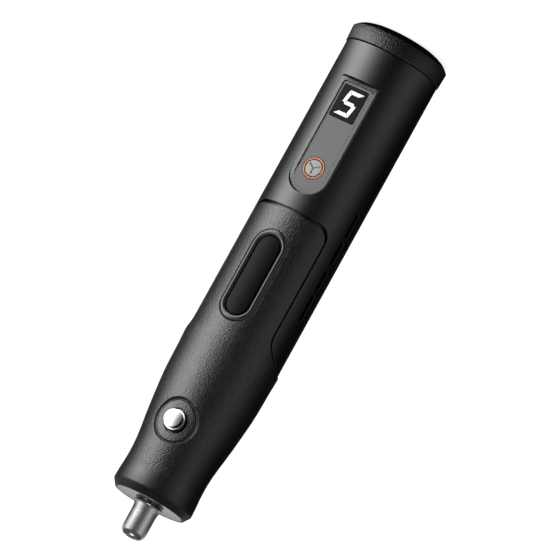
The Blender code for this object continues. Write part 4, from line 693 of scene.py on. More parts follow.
# Finishes of the pieces inside, by the frame's material slot: colour, roughness, metallic, grain's cell
# and depth
INNER_FINISHES = {
    "lock_pin": ((0.62, 0.62, 0.63), 0.25, 1.0, 0.1 * MM, 0.001 * MM),
    "lock_spring": ((0.6, 0.6, 0.6), 0.3, 1.0, 0.1 * MM, 0.001 * MM),
    "collet": ((0.6, 0.6, 0.6), 0.3, 1.0, 0.1 * MM, 0.001 * MM),
    "spindle": ((0.62, 0.62, 0.63), 0.25, 1.0, 0.1 * MM, 0.001 * MM),
    "bearing": ((0.55, 0.56, 0.58), 0.15, 1.0, 0.1 * MM, 0.0005 * MM),
    "metal_carrier": ((0.5, 0.5, 0.51), 0.35, 1.0, 0.2 * MM, 0.002 * MM),
    "screw": ((0.62, 0.62, 0.63), 0.3, 1.0, 0.1 * MM, 0.001 * MM),
    "motor_case": ((0.6, 0.58, 0.54), 0.3, 1.0, 0.3 * MM, 0.002 * MM),
    "motor_end_bell": ((0.015, 0.015, 0.016), 0.45, 0.0, 0.2 * MM, 0.003 * MM),
    "magnet": ((0.08, 0.08, 0.085), 0.55, 0.5, 0.3 * MM, 0.005 * MM),
    "armature": ((0.08, 0.08, 0.085), 0.4, 0.8, 0.2 * MM, 0.003 * MM),
    "copper": ((0.72, 0.33, 0.18), 0.3, 1.0, 0.15 * MM, 0.004 * MM),
    "carbon": ((0.03, 0.03, 0.03), 0.7, 0.0, 0.1 * MM, 0.003 * MM),
    "nickel": ((0.6, 0.58, 0.54), 0.28, 1.0, 0.2 * MM, 0.001 * MM),
    "cell": ((0.03, 0.12, 0.32), 0.35, 0.0, 1.5 * MM, 0.004 * MM),
    "cradle": ((0.12, 0.12, 0.13), 0.5, 0.0, 0.3 * MM, 0.004 * MM),
    "board": ((0.02, 0.16, 0.06), 0.4, 0.0, 0.4 * MM, 0.004 * MM),
    "chip": ((0.015, 0.015, 0.016), 0.5, 0.0, 0.1 * MM, 0.003 * MM),
    "lead_red": ((0.45, 0.02, 0.02), 0.45, 0.0, 0.3 * MM, 0.003 * MM),
    "lead_black": ((0.02, 0.02, 0.02), 0.45, 0.0, 0.3 * MM, 0.003 * MM),
}


# Shapes of the shells


def front_edge(angle, rear_z, side_y):
    """Height of the grip's rear boundary: straight, then a quarter of an ellipse up to the side line."""
    y = -HOUSING_RADIUS * np.cos(angle)
    share = np.clip((y - CORNER_Y) / (side_y - CORNER_Y), 0, 1)
    return rear_z + CORNER_LENGTH * (1 - np.sqrt(1 - share**2))


def back_edge(angle, inset, side_y):
    """Height of the boundary from the side line round the back: a quarter of an ellipse, then straight."""
    y = -HOUSING_RADIUS * np.cos(angle)
    share = np.clip((SWEEP_REACH - y) / (SWEEP_REACH - side_y), 0, 1)
    return SWEEP_Z + (SWEEP_LENGTH + inset) * np.sqrt(1 - share**2)


def angle_of(y):
    """The bearing of a place y on the housing: arccos(-y / radius)."""
    return np.arccos(-y / HOUSING_RADIUS)


def front_columns(block, side_y, block_steps, rest_steps):
    """Angles across the front, the same on both sides: to the block's edge, to the corner, round it."""
    half = np.concatenate((
        np.linspace(0, block, block_steps + 1),
        np.linspace(block, CORNER_ANGLE, rest_steps + 1)[1:],
        angle_of(CORNER_Y + (side_y - CORNER_Y) * np.sin(CORNER_TURNS)),
    ))
    return np.concatenate((-half[:0:-1], half))


def back_columns(side_y):
    """Angles from one side line round the back to the other, with a block of cells for the slots."""
    near, far = SLOT_ANGLE - SLOT_BLOCK, SLOT_ANGLE + SLOT_BLOCK
    side = angle_of(np.array([side_y]))
    sweep = angle_of(SWEEP_REACH - (SWEEP_REACH - side_y) * np.cos(SWEEP_TURNS))
    half = np.concatenate((
        side,
        sweep,
        np.linspace(sweep[-1], near, 4)[1:],
        np.linspace(near, far, 7)[1:],
        np.linspace(far, math.pi, 31)[1:],
    ))
    return np.concatenate((half, TURN - half[-2::-1]))


def spaced(*stops):
    """Heights through the given stops, about a millimetre apart."""
    parts = [np.linspace(a, b, max(2, round((b - a) / MM) + 1))[1:] for a, b in zip(stops, stops[1:])]
    return np.concatenate([stops[:1]] + parts)


def index_of(values, value):
    return int(np.argmin(np.abs(values - value)))


def block_of(levels, columns, stops, half, middle=0.0):
    """The block of a sheet's cells between two heights, within half an angle of a middle one."""
    rows = (index_of(levels, stop) for stop in stops)
    return (*rows, index_of(columns, middle - half), index_of(columns, middle + half))


def round_outline(middle_z, radius, surface, steps=256):
    """A circle in the front view, as (angle, height) on a surface of the given radius at each height."""
    a = np.arange(steps) * TURN / steps
    z = middle_z + radius * np.sin(a)
    return np.stack((np.arcsin(radius * np.cos(a) / surface(z)), z), 1)


def slot_outline(middle_angle, start, size):
    """A cooling slot as (angle, height): a stadium, its width laid round the housing."""
    middles, directions = stadium((size - SLOT_WIDTH) / 2)
    points = middles + directions * SLOT_WIDTH / 2
    return np.stack((middle_angle + points[:, 0] / HOUSING_RADIUS, start + size / 2 + points[:, 1]), 1)


def panel_path(inset, steps=24):
    """The panel's outline as (x, z): small corners at the rear, a full round end towards the nose."""
    grown = GAP - inset
    radius = (PANEL_HIGH[0] - PANEL_LOW[0]) / 2 + grown
    bottom, top = PANEL_LOW[2] - grown, PANEL_HIGH[2] + grown
    corner = 0.8 * MM
    rear = corner * (1 - polar(quarter(6)))
    left = (-radius, bottom) + rear
    right = (radius, bottom) + rear[::-1] * (-1, 1)
    end = (0, top - radius) + radius * polar(np.linspace(0, math.pi, steps + 1))
    return np.concatenate((left, right, end))


def resampled(path, values, count):
    """Pairs of values given at a closed path's points, taken at places spread evenly along it."""
    travel = travelled(np.vstack((path, path[:1])))
    values = np.vstack((values, values[:1]))
    at = np.linspace(0, travel[-1], count, endpoint=False)
    return np.stack([np.interp(at, travel, values[:, axis]) for axis in range(2)], 1)


def dense(path, step=0.05 * MM):
    """A closed path with points about one step apart."""
    size = travelled(np.vstack((path, path[:1])))[-1]
    return resampled(path, path, int(size / step))


def housing_shape(sizes):
    """The tube from the rear cap to the grip's boundary: angle and height on a cylinder, with the panel's
    pocket and the cooling slots let in as rings, and a wall behind the whole sheet."""
    corner_top = GROOVE_Z + CORNER_LENGTH
    pocket_high, slots_high = POCKET_STOPS[1], SLOT_STOPS[-1]
    columns = front_columns(POCKET_BLOCK, SIDE_Y, 11, 3)
    levels = spaced(HOUSING_Z, POCKET_STOPS[0], SLOT_STOPS[0], pocket_high, SLOT_STOPS[1], corner_top)
    angles, heights = np.meshgrid(columns, levels)
    stretch = (front_edge(angles, GROOVE_Z, SIDE_Y) - pocket_high) / (corner_top - pocket_high)
    heights = np.where(heights > pocket_high, pocket_high + (heights - pocket_high) * stretch, heights)
    pocket = dense(panel_path(0))
    pocket = np.stack((np.arcsin(pocket[:, 0] / HOUSING_RADIUS), pocket[:, 1]), 1)
    cells = block_of(levels, columns, POCKET_STOPS, POCKET_BLOCK)
    front = sheet(angles, heights, [(cells, (0, sum(POCKET_STOPS) / 2), [(pocket, 0)], (0.3, 0.65))])

    columns = back_columns(SIDE_Y)
    levels = np.concatenate((levels, spaced(corner_top, *SLOT_STOPS[2:], SWEEP_Z)[1:]))
    angles, heights = np.meshgrid(columns, levels)
    stretch = (back_edge(angles, 0, SIDE_Y) - slots_high) / (SWEEP_Z - slots_high)
    heights = np.where(heights > slots_high, slots_high + (heights - slots_high) * stretch, heights)
    tiles = []
    for angle in (SLOT_ANGLE, TURN - SLOT_ANGLE):
        for (start, size), *stops in zip(SLOT_PLACES, SLOT_STOPS, SLOT_STOPS[1:]):
            cells = block_of(levels, columns, stops, SLOT_BLOCK, angle)
            outline = slot_outline(angle, start, size)
            tiles.append((cells, (angle, start + size / 2), [(outline, 0)], (0.45, 0.75)))
    back = sheet(angles, heights, tiles)

    params, quads = joined(front, back)
    outer = on_cylinder(params[:, 0], HOUSING_RADIUS, params[:, 1])
    inner = on_cylinder(params[:, 0], SEAT_RADIUS, params[:, 1])
    sink = unit(inner - outer)
    at_pocket = np.flatnonzero(on_outline(front[0], pocket))
    inner[at_pocket] = outer[at_pocket] + (0, POCKET_WALL, 0)
    sink[at_pocket] = (0, 1, 0)
    return shell(outer, quads, inner, sink, sizes.seam_edge)


def on_outline(params, outline):
    """Which points of a sheet lie on an outline."""
    nearness = 0.02 * MM
    middle = outline.mean(0)
    ray = (params[:, :2] - middle) * SHEET_SCALE
    reach = reach_at(np.arctan2(ray[:, 1], ray[:, 0]), (outline - middle) * SHEET_SCALE)
    return np.abs(np.hypot(*ray.T) - reach) < nearness


def grip_profile():
    """The sleeve's section by its station, which is the height up to the chamfer and the distance beyond it.

    Returns stations, radii, heights, inner radii and inner heights. The radii are the shares of the swell
    and the taper, blended over about a millimetre.
    """
    step, spread, reach, below = 0.2 * MM, 0.8 * MM, 12, 3 * MM
    rim_edge, mouth_edge = 0.35 * MM, 0.12 * MM
    end_z = NOSE_Z - CHAMFER_LENGTH
    rise_z = SHOULDER_Z - SWELL_LENGTH + SWELL_LENGTH * SWELL_SHARES[:, 0]
    rise_r = HOUSING_RADIUS + SHOULDER_PROUD * SWELL_SHARES[:, 1]
    fall_z = SHOULDER_Z + (end_z - SHOULDER_Z) * TAPER_SHARES[1:, 0]
    fall_r = HOUSING_RADIUS + SHOULDER_PROUD - WAIST_DROP * TAPER_SHARES[1:, 1]
    station = np.arange(GRIP_Z - below, end_z, step)
    radius = np.interp(station, np.concatenate((rise_z, fall_z)), np.concatenate((rise_r, fall_r)))
    weights = np.exp(-((np.arange(-reach, reach + 1) * step / spread) ** 2) / 2)
    radius = np.convolve(np.pad(radius, reach, mode="edge"), weights / weights.sum(), mode="valid")

    rim, mouth = fall_r[-1], fall_r[-1] - CHAMFER_WIDTH
    lip, seat = mouth - LIP_WALL, HOUSING_RADIUS - GRIP_WALL
    corners = ((rim, end_z - MM), (rim, end_z), (mouth, NOSE_Z), (lip, NOSE_Z))
    path = softened(corners, (0, rim_edge, mouth_edge, 0), 5)
    path = path[path[:, 1] > end_z - RIM_LENGTH]
    travel = end_z + travelled(path)
    keep = station < path[0, 1]
    station, radius = station[keep], radius[keep]
    share = (travel - travel[0]) / (travel[-1] - travel[0])
    inner_end = min(radius[-1] - GRIP_WALL, seat)
    return (
        np.concatenate((station, travel)),
        np.concatenate((radius, path[:, 0])),
        np.concatenate((station, path[:, 1])),
        np.concatenate((np.minimum(radius - GRIP_WALL, seat), inner_end + (lip - inner_end) * share)),
        np.concatenate((station, path[0, 1] + (NOSE_Z - LIP_DEPTH - path[0, 1]) * share)),
    )


def grip_shape(sizes):
    """The soft sleeve: a front sheet from its rear edge to the rim, and a back sheet from the sweep to the
    rim, with the badge's hole and the lock's dish let in as rings."""
    stations, radii, section_z, inner_radii, inner_z = grip_profile()
    side_y = SIDE_Y - SIDE_GROOVE
    badge_gap, dish_floor = 0.08 * MM, (0.75, 0.68)
    rim_edge, rim_nearness = 0.06 * MM, 0.01 * MM

    def surface(z):
        return np.interp(z, stations, radii)

    badge_low = BADGE_STOPS[0]
    corner_top = GRIP_Z + CORNER_LENGTH
    rim = stations[section_z >= NOSE_Z - CHAMFER_LENGTH - RIM_LENGTH]
    upper = np.concatenate((spaced(SWEEP_Z, BADGE_STOPS[1], MERGE_Z, *LOCK_STOPS, rim[0])[:-1], rim))
    lower = np.concatenate((np.linspace(corner_top, badge_low, 8), spaced(badge_low, SWEEP_Z)[1:]))
    levels = np.concatenate((lower, upper[1:]))
    columns = front_columns(LOCK_BLOCK, side_y, 13, 1)
    for side in (BADGE_BLOCK, -BADGE_BLOCK):
        columns[index_of(columns, side)] = side
    angles, heights = np.meshgrid(columns, levels)
    edge = front_edge(angles, GRIP_Z, side_y)
    share = np.clip((heights - corner_top) / (badge_low - corner_top), 0, 1)
    heights = np.where(heights < badge_low, edge + share * (badge_low - edge), heights)

    middles, directions = stadium(BADGE_STRAIGHT, 96, 96)
    x, z = (middles + directions * (BADGE_RADIUS + badge_gap)).T
    badge = np.stack((np.arcsin(x / surface(BADGE_MIDDLE + z)), BADGE_MIDDLE + z), 1)
    dish = sizes.dish_radius
    radius = np.concatenate((np.linspace(sizes.lock_hole, dish - MM, 5), dish + DISH_FILLET[:, 0] * MM))
    drop = np.concatenate((np.linspace(*dish_floor, 5), DISH_FILLET[:, 1]))
    outlines = [(round_outline(LOCK_Z, r, surface), d) for r, d in zip(radius, drop)]
    front = sheet(angles, heights, [
        (block_of(levels, columns, BADGE_STOPS, BADGE_BLOCK), (0, BADGE_MIDDLE), [(badge, 0)], (0.35, 0.7)),
        (block_of(levels, columns, LOCK_STOPS, LOCK_BLOCK), (0, LOCK_Z), outlines, (0.4, 0.7)),
    ])

    angles, heights = np.meshgrid(back_columns(side_y), upper)
    edge = back_edge(angles, SIDE_GROOVE, side_y)
    share = (heights - SWEEP_Z) / (MERGE_Z - SWEEP_Z)
    heights = np.where(heights < MERGE_Z, edge + share * (MERGE_Z - edge), heights)
    params, quads = joined(front, sheet(angles, heights))

    angle, station, drop = params.T
    across = np.clip(surface(station) * np.sin(angle) / dish, -1, 1)
    drop = drop * (sizes.dish_depth - (sizes.dish_depth - sizes.dish_side_depth) * across**2)
    outer = on_cylinder(angle, surface(station) - drop, np.interp(station, stations, section_z))
    inner_r = np.interp(station, stations, inner_radii)
    inner = on_cylinder(angle, inner_r, np.interp(station, stations, inner_z))
    sink = on_cylinder(angle, -1.0, 0 * angle)
    rounding = np.full(len(params), sizes.grip_edge)
    at_rim = station > stations[-1] - rim_nearness
    sink[at_rim] = (0, 0, -1)
    rounding[at_rim] = rim_edge
    return shell(outer, quads, inner, sink, rounding)


def seat_shape():
    """The part of the housing under the sleeve, with the hole for the lock button."""
    stations, _, _, inner_radii, _ = grip_profile()
    start, hole_radius, edge, play = 66.3 * MM, 3.7 * MM, 0.08 * MM, 0.05 * MM
    levels = spaced(start, *SEAT_STOPS, NOSE_Z - LIP_DEPTH - GAP)
    front = np.linspace(-SEAT_BLOCK, SEAT_BLOCK, 13)
    columns = np.concatenate((front, np.linspace(SEAT_BLOCK, TURN - SEAT_BLOCK, 60)[1:]))
    angles, heights = np.meshgrid(columns, levels)

    def surface(z):
        return np.minimum(np.interp(z, stations, inner_radii) - GAP, SEAT_RADIUS - play)

    hole = round_outline(LOCK_Z, hole_radius, surface)
    cells = block_of(levels, columns, SEAT_STOPS, SEAT_BLOCK)
    params, quads = sheet(angles, heights, [(cells, (0, LOCK_Z), [(hole, 0)], (0.4, 0.7))])
    angle, z, _ = params.T
    outer = on_cylinder(angle, surface(z), z)
    inner = on_cylinder(angle, surface(z) - SEAT_WALL, z)
    return shell(outer, quads, inner, unit(inner - outer), edge)


def cap_shape(sizes):
    """Loops from the socket's hole out over the end, the chamfer and the side, and back inside.

    Each loop on the end blends from the hole's stadium to a circle: (1-b) stadium + b circle.
    """
    steps = 192
    hole_radius, hole_length, hole_margin, mouth_edge = 1.9 * MM, 9.54 * MM, 1.5 * MM, 0.2 * MM
    edge, end_wall, end_margin, bore = 0.25 * MM, 2 * MM, 0.6 * MM, 9 * MM
    blends = ((0.35, 7.5 * MM), (0.7, 9.0 * MM), (1.0, 10.8 * MM))
    middles, directions = stadium(hole_length / 2 - hole_radius, 48, 48)
    hole, out = across_tool(middles + directions * hole_radius), across_tool(directions)
    bearing = np.unwrap(np.arctan2(hole[:, 1], hole[:, 0]))
    turn = np.sign(bearing[-1] - bearing[0]) * TURN
    wheel = polar(np.linspace(bearing[0], bearing[0] + turn, steps, endpoint=False))

    end_radius, top = sizes.cap_radius - sizes.cap_chamfer_width, sizes.cap_length
    share = np.linspace(0, 1, 9)
    swell = sizes.cap_bulge * np.sin(math.pi * share)
    chamfer_r = end_radius + sizes.cap_chamfer_width * share + swell
    chamfer = np.stack((chamfer_r, sizes.cap_chamfer_length * share - swell), 1)
    rolled = (sizes.cap_radius - sizes.cap_taper - edge, top - edge) + edge * polar(quarter(3))
    inside = SEAT_RADIUS - GAP
    back = ((inside, top), (inside, end_wall), (bore, end_wall))
    profile = np.concatenate((((end_radius - end_margin, 0),), chamfer, rolled, back))

    rises = (1 - polar(quarter(4)[::-1])) * mouth_edge
    loops = [level_ring(hole + out * inset, height) for height, inset in rises]
    for blend, reach in blends:
        loops.append(level_ring((1 - blend) * (hole + out * hole_margin) + blend * wheel * reach, 0))
    loops += [level_ring(r * wheel, z) for r, z in profile]
    loops.append(level_ring(hole, end_wall))
    return solid(np.array(loops))


# Shapes of the front and the nose


def plate_shape(outline, face, thickness, edge):
    """A flat plate behind a front outline: loops drawn in to the middle on both sides, its edge rolled."""
    middle = outline.mean(0)
    spoke = outline - middle
    size = np.linalg.norm(spoke, axis=1, keepdims=True)
    rolled = edge * (1 - polar(quarter(3)))
    loops = [level_ring(middle + 0 * spoke, 0.0)]
    for depth, inset in (*rolled, (thickness, 0)):
        loops.append(level_ring(middle + spoke * (1 - inset / size), depth))
    loops = np.array(loops + [level_ring(middle + 0 * spoke, thickness)])
    world = np.stack((loops[..., 0], loops[..., 2] - face, loops[..., 1]), -1)
    return solid(world, closed=False)


def rounded_box(width, size, corner, middle_z, steps=8):
    """A rectangle with round corners in the front view, as (x, z)."""
    places = np.array(((1, 1), (-1, 1), (-1, -1), (1, -1))) * (width / 2 - corner, size / 2 - corner)
    turns = [quarter(steps) + number * math.pi / 2 for number in range(4)]
    corners = [place + corner * polar(turn) for place, turn in zip(places, turns)]
    return (0, middle_z) + np.concatenate(corners)


def patch(path, outline, shares):
    """Loops from an outline out to a path round it, along rays from the outline's middle."""
    middle = outline.mean(0)
    ray = path - middle
    bearing = np.arctan2(ray[:, 1], ray[:, 0])
    near = middle + polar(bearing, reach_at(bearing, outline - middle))
    return np.array([level_ring(near + (path - near) * share, 0) for share in (0, *shares, 1)])


def panel_shape(sizes):
    """The grey plate: one patch round the window and one round the button, meeting on a line between."""
    gap, button_reach, margin = 0.15 * MM, 3.9 * MM, 0.1 * MM
    whole = dense(panel_path(GAP + sizes.border_width + BORDER_GAP), 0.3 * MM)
    bottom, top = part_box("display_window")
    seam = (top.z + gap + BUTTON_Z - button_reach) / 2
    half = PANEL_HIGH[0] - sizes.border_width - BORDER_GAP
    line = np.stack((np.linspace(-half, half, 41), np.full(41, seam)), 1)
    rear = whole[whole[:, 1] < seam - margin]
    nose = whole[whole[:, 1] > seam + margin]
    rear = rear[np.argsort(np.unwrap(np.arctan2(rear[:, 1] - seam, rear[:, 0]) % TURN))]
    nose = nose[np.argsort(np.arctan2(nose[:, 1] - seam, nose[:, 0]) % TURN)]
    width, size = top.x - bottom.x + 2 * gap, top.z - bottom.z + 2 * gap
    window = dense(rounded_box(width, size, sizes.window_corner, halfway("display_window", Z)), 0.1 * MM)
    hole = (0, BUTTON_Z) + polar(np.arange(256) * TURN / 256, high("button_ring", X) + gap)
    flat, quads = joined(
        solid(patch(np.concatenate((line[::-1], rear)), window, (0.25, 0.6)), closed=False),
        solid(patch(np.concatenate((line, nose)), hole, (0.25, 0.6)), closed=False),
    )
    outer = np.stack((flat[:, 0], np.full(len(flat), PANEL_LOW[1]), flat[:, 1]), 1)
    inner = outer + (0, PANEL_HIGH[1] - PANEL_LOW[1], 0)
    return shell(outer, quads, inner, (0, 1.0, 0), sizes.panel_edge)


def border_shape(sizes):
    """The panel's border, a closed section carried along the panel's outline.

    The section is flat, but at the rear edge and along +X its inner edge is raised. It is
    flat + (raised - flat) * share, and each share goes from nought to one over a short way.
    """
    rear_margin, rear_fade, side_fade, nose_fade = 0.5 * MM, 0.6 * MM, 4 * MM, 7 * MM
    outer_edge, inner_edge, seam_edge = 0.15 * MM, 0.03 * MM, 0.03 * MM
    face, back = -PANEL_LOW[1], -PANEL_HIGH[1]
    width = GAP + sizes.border_width

    def section(seam, inner, rise, edge):
        corners = ((seam, back), (seam, face), (inner, face + rise), (inner, back))
        return softened(corners, (0, edge, inner_edge, 0))[:, None]

    flat = section(GAP, width + BORDER_GAP - BORDER_SEAM, 0, outer_edge)
    raised = section(GAP, width, sizes.border_rise, outer_edge)
    raised_side = section(BORDER_SEAM, width, sizes.border_rise, seam_edge)
    base = panel_path(0, 32)
    start = dense(base, 0.4 * MM)
    inwards = resampled(base, (panel_path(MM, 32) - base) / MM, len(start))
    across, along = start.T
    rear = np.clip((PANEL_LOW[2] + rear_margin - along) / rear_fade, 0, 1)
    side = np.clip(across / side_fade, 0, 1) * np.clip((BUTTON_Z + nose_fade - along) / nose_fade, 0, 1)
    side = side * (1 - rear)
    carried = flat + (raised - flat) * rear[:, None] + (raised_side - flat) * side[:, None]
    path = start + inwards * carried[..., 0:1]
    return solid(np.stack((path[..., 0], -carried[..., 1], path[..., 1]), -1))


def digit_shape(sizes):
    """A leaning seven-bar digit five. Its level bars are mitred at their ends, its upright ones reach from
    a corner to the middle bar, and the middle bar is pointed. Each is a polygon with a thin wall."""
    w, h, t = sizes.digit_width / 2, sizes.digit_height / 2, sizes.digit_bar
    gap, proud, depth = 0.09 * MM, 0.03 * MM, 0.1 * MM
    slant = math.tan(math.radians(11.5))
    top = ((gap - w, h), (w - gap, h), (w - t - gap, h - t), (t + gap - w, h - t))
    left = ((-w, h - gap), (t - w, h - t - gap), (t - w, t / 2 + gap), (t / 2 - w, gap), (-w, gap))
    middle = ((gap - w + t / 2, 0), (t + gap - w, t / 2), (w - t - gap, t / 2), (w - t / 2 - gap, 0))
    middle = (*middle, (w - t - gap, -t / 2), (t + gap - w, -t / 2))
    bars = [np.array(bar) for bar in (top, left, middle)]
    window_middle, face = halfway("display_window", Z), low("display_window", Y)
    front, back = (0, face - proud, 0), (0, face + depth, 0)
    shapes = []
    for bar in (*bars, -bars[0], -bars[1]):
        lean = slant * bar[:, 1]
        ring = np.stack((-bar[:, 0] - lean, 0 * lean, window_middle - bar[:, 1]), 1)
        centre = np.repeat(ring.mean(0)[None], len(ring), 0)
        loops = np.array((centre + front, ring + front, ring + back, centre + back))
        shapes.append(solid(loops, closed=False))
    return joined(*shapes)


def button_shape():
    """The round button: a disc with three short grooves from near its middle to near its rim.

    Height at radius r and angle a is the crown's, less a groove where the distance to an arm's line is
    small: depth * exp(-(distance / width)^4), faded at the arm's two ends.
    """
    radius, edge, crown = 2.8 * MM, 0.25 * MM, 0.06 * MM
    groove_depth, groove_width, fade = 0.5 * MM, 0.2 * MM, 0.06 * MM
    groove_start, groove_end = 0.12 * MM, 2.15 * MM
    face, back = -low("speed_button", Y), -high("speed_button", Y)
    steps, rings = 192, 36
    a = np.arange(steps) * TURN / steps
    r = np.linspace(0, radius - edge, rings)[:, None]
    x, y, drop = np.moveaxis(on_cylinder(a, r, crown * (r / radius) ** 2 + 0 * a), -1, 0)
    for bearing in np.radians((60, 180, 300)):
        along = x * math.sin(bearing) - y * math.cos(bearing)
        across = x * math.cos(bearing) + y * math.sin(bearing)
        begun = 1 / (1 + np.exp(-(along - groove_start) / fade))
        ended = 1 / (1 + np.exp((along - groove_end) / fade))
        drop = drop + groove_depth * np.exp(-((across / groove_width) ** 4)) * begun * ended
    top = np.stack((x, y, face - drop), -1)
    side = (radius - edge, face - crown - edge) + edge * polar(quarter(4)[::-1])[1:]
    side = np.concatenate((side, ((radius, back), (0, back))))
    return solid(to_front(np.concatenate((top, turned(side, steps))), BUTTON_Z), closed=False)


def ring_shape(sizes):
    """The light ring, a softly crowned band round the button."""
    edge = 0.2 * MM
    outer, face, back = high("button_ring", X), -low("button_ring", Y), -high("button_ring", Y)
    inner = outer - sizes.ring_width
    profile = softened(((inner, back), (outer, back), (outer, face), (inner, face)), (0, 0, edge, edge))
    return solid(to_front(turned(profile), BUTTON_Z))


def bent_stadium(radii, levels, closed=True):
    """Loops of the badge's slot with round ends laid on the tool's curve: x across, the reach follows from
    the level r by y = -sqrt(r^2 - x^2)."""
    middles, directions = stadium(BADGE_STRAIGHT, 40, 40)
    ring = middles + directions * radii[:, None, None]
    x, z = ring[..., 0], BADGE_MIDDLE + ring[..., 1]
    return solid(np.stack((x, -np.sqrt(levels[:, None] ** 2 - x**2), z), -1), closed)


def bezel_shape(sizes):
    """The badge's frame: a closed section of radius and level, carried round a slot with round ends.

    From the peak the level falls by drop * distance^power on both sides, and by a second such drop on the
    inner side. Each distance is a share of its side's width.
    """
    proud, base = 0.6 * MM, 15.2 * MM
    both_drop, inner_drop, peak_share, power = 0.66 * MM, 0.5 * MM, 0.45, 2.2
    share = np.linspace(0, 1, 13)
    both_fall = both_drop * np.abs(1 - share / peak_share).clip(0, 1) ** power
    inner_fall = inner_drop * ((share - peak_share) / (1 - peak_share)).clip(0, 1) ** power
    radii = BADGE_RADIUS - sizes.badge_rim * share
    radii = np.concatenate((radii[:1], radii, radii[-1:]))
    crown = HOUSING_RADIUS + proud - both_fall - inner_fall
    levels = np.concatenate(((base,), crown, (base,)))
    return bent_stadium(radii, levels)


def badge_shape(sizes):
    """The bare plate inside the badge's frame."""
    play, sunk, base = 0.15 * MM, 0.1 * MM, 15.3 * MM
    edge = np.array((0.12, 0.04, 0)) * MM
    radius, level = BADGE_RADIUS - sizes.badge_rim - play, HOUSING_RADIUS - sunk
    radii = np.concatenate((np.array((0, 0.3, 0.6, 0.9)) * radius, radius - edge, (radius, 0)))
    levels = np.concatenate((np.full(4, level), level - edge[::-1], (base, base)))
    return bent_stadium(radii, levels, closed=False)


def lock_shape():
    """The lock button, a profile turned round its axis. Its crown falls by crown * (r / radius)^2, its edge
    is a quarter circle, and under its side come the skirt, the flange and the cup for its spring."""
    tip, base = -low("lock_button", Y), -high("lock_button", Y)
    dome, skirt, flange, cup = 3.0 * MM, 3.5 * MM, 3.85 * MM, 2.7 * MM
    crown, edge = 0.56 * MM, 0.12 * MM
    step_depth, cup_depth, flange_depth = 2.4 * MM, 3.15 * MM, 0.7 * MM
    step, cup_end, shoulder = tip - step_depth, tip - cup_depth, base + flange_depth
    r = np.linspace(0, dome - edge, 12)
    top = np.stack((r, tip - crown * (r / dome) ** 2), 1)
    level = top[-1, 1] - edge
    rolled = (dome - edge, level) + edge * polar(quarter(5)[::-1])[1:]
    corners = (
        (dome, level),
        (dome, step),
        (skirt, step),
        (skirt, shoulder),
        (flange, shoulder),
        (flange, base),
        (cup, base),
        (cup, cup_end),
        (0, cup_end),
    )
    roundings = np.array((0, 0.03, 0.12, 0, 0.1, 0.1, 0, 0, 0)) * MM
    below = softened(corners, roundings, 3)
    return solid(to_front(turned(np.concatenate((top, rolled, below))), LOCK_Z), closed=False)


def spring_shape():
    """The lock's spring: a round wire carried along a helix, whose reach grows evenly with its angle a:
    (R cos a, y, R sin a) about the button's axis."""
    wire, turns, steps, sides = 0.2 * MM, 4, 128, 8
    start, end = low("lock_spring", Y) + wire, high("lock_spring", Y) - wire
    radius = high("lock_spring", X) - wire
    a = np.linspace(0, turns * TURN, steps + 1)[:, None]
    y = np.linspace(start, end, steps + 1)[:, None]
    out = np.concatenate((np.cos(a), 0 * a, np.sin(a)), 1)
    centre = out * radius + np.concatenate((0 * a, y, LOCK_Z + 0 * a), 1)
    slope = (end - start) / (turns * TURN)
    tangent = unit(np.concatenate((-radius * np.sin(a), slope + 0 * a, radius * np.cos(a)), 1))
    over = np.cross(tangent, out)
    t = (np.arange(sides) * TURN / sides)[:, None]
    loops = centre[:, None] + wire * (out[:, None] * np.cos(t) + over[:, None] * np.sin(t))
    ends = [np.repeat(centre[i, None, None], sides, 1) for i in (0, steps)]
    return solid(np.concatenate((ends[0], loops, ends[1])), closed=False)


def nose_plate_shape():
    """The bright disc in the nose: a ring turned round the axis, with a boss behind it."""
    radius, seat, back = high("nose_plate", X), low("nose_plate", Z), NOSE_Z - LIP_DEPTH
    hole, boss, bore = 3.6 * MM, 7.5 * MM, 5.5 * MM
    corners = (
        (hole, NOSE_Z),
        (radius, NOSE_Z),
        (radius, back),
        (boss, back),
        (boss, seat),
        (bore, seat),
        (bore, back),
        (hole, back),
    )
    roundings = np.array((0.15, 0.15, 0.1, 0, 0.1, 0.1, 0, 0.1)) * MM
    return solid(turned(softened(corners, roundings), 192))


def nut_shape(sizes):
    """The nut: a flange that flares into a straight neck, and a tip rounded like an ellipse."""
    low_z, high_z = low("collet_nut", Z), high("collet_nut", Z)
    neck, tip, mouth, throat, thread = 4.2 * MM, 2 * MM, 1.65 * MM, 2.1 * MM, 3.3 * MM
    flange, band, flare, tip_length = sizes.nut_flange, 0.45 * MM, 3.4 * MM, 2.8 * MM
    mouth_length, mouth_edge, mouth_drop, foot_edge = 1.6 * MM, 0.1 * MM, 0.12 * MM, 0.15 * MM
    throat_length, cone_length = 0.3 * MM, 2.4 * MM
    mouth_z, turn = high_z - mouth_length, quarter(12)
    rise_z = low_z + band + (flare - band) * (1 - np.cos(turn))
    rise = np.stack((flange - (flange - neck) * np.sin(turn), rise_z), 1)
    cap = (tip, high_z - tip_length) + polar(turn) * (neck - tip, tip_length)
    foot = softened(((thread, low_z), (flange, low_z), (flange, low_z + band)), (0, foot_edge, 0), 4)[5:10]
    bore = (
        (mouth + mouth_edge, high_z),
        (mouth, high_z - mouth_drop),
        (mouth, mouth_z),
        (throat, mouth_z - throat_length),
        (thread, mouth_z - cone_length),
        (thread, low_z),
    )
    return solid(turned(np.concatenate((foot, rise, cap, bore))))


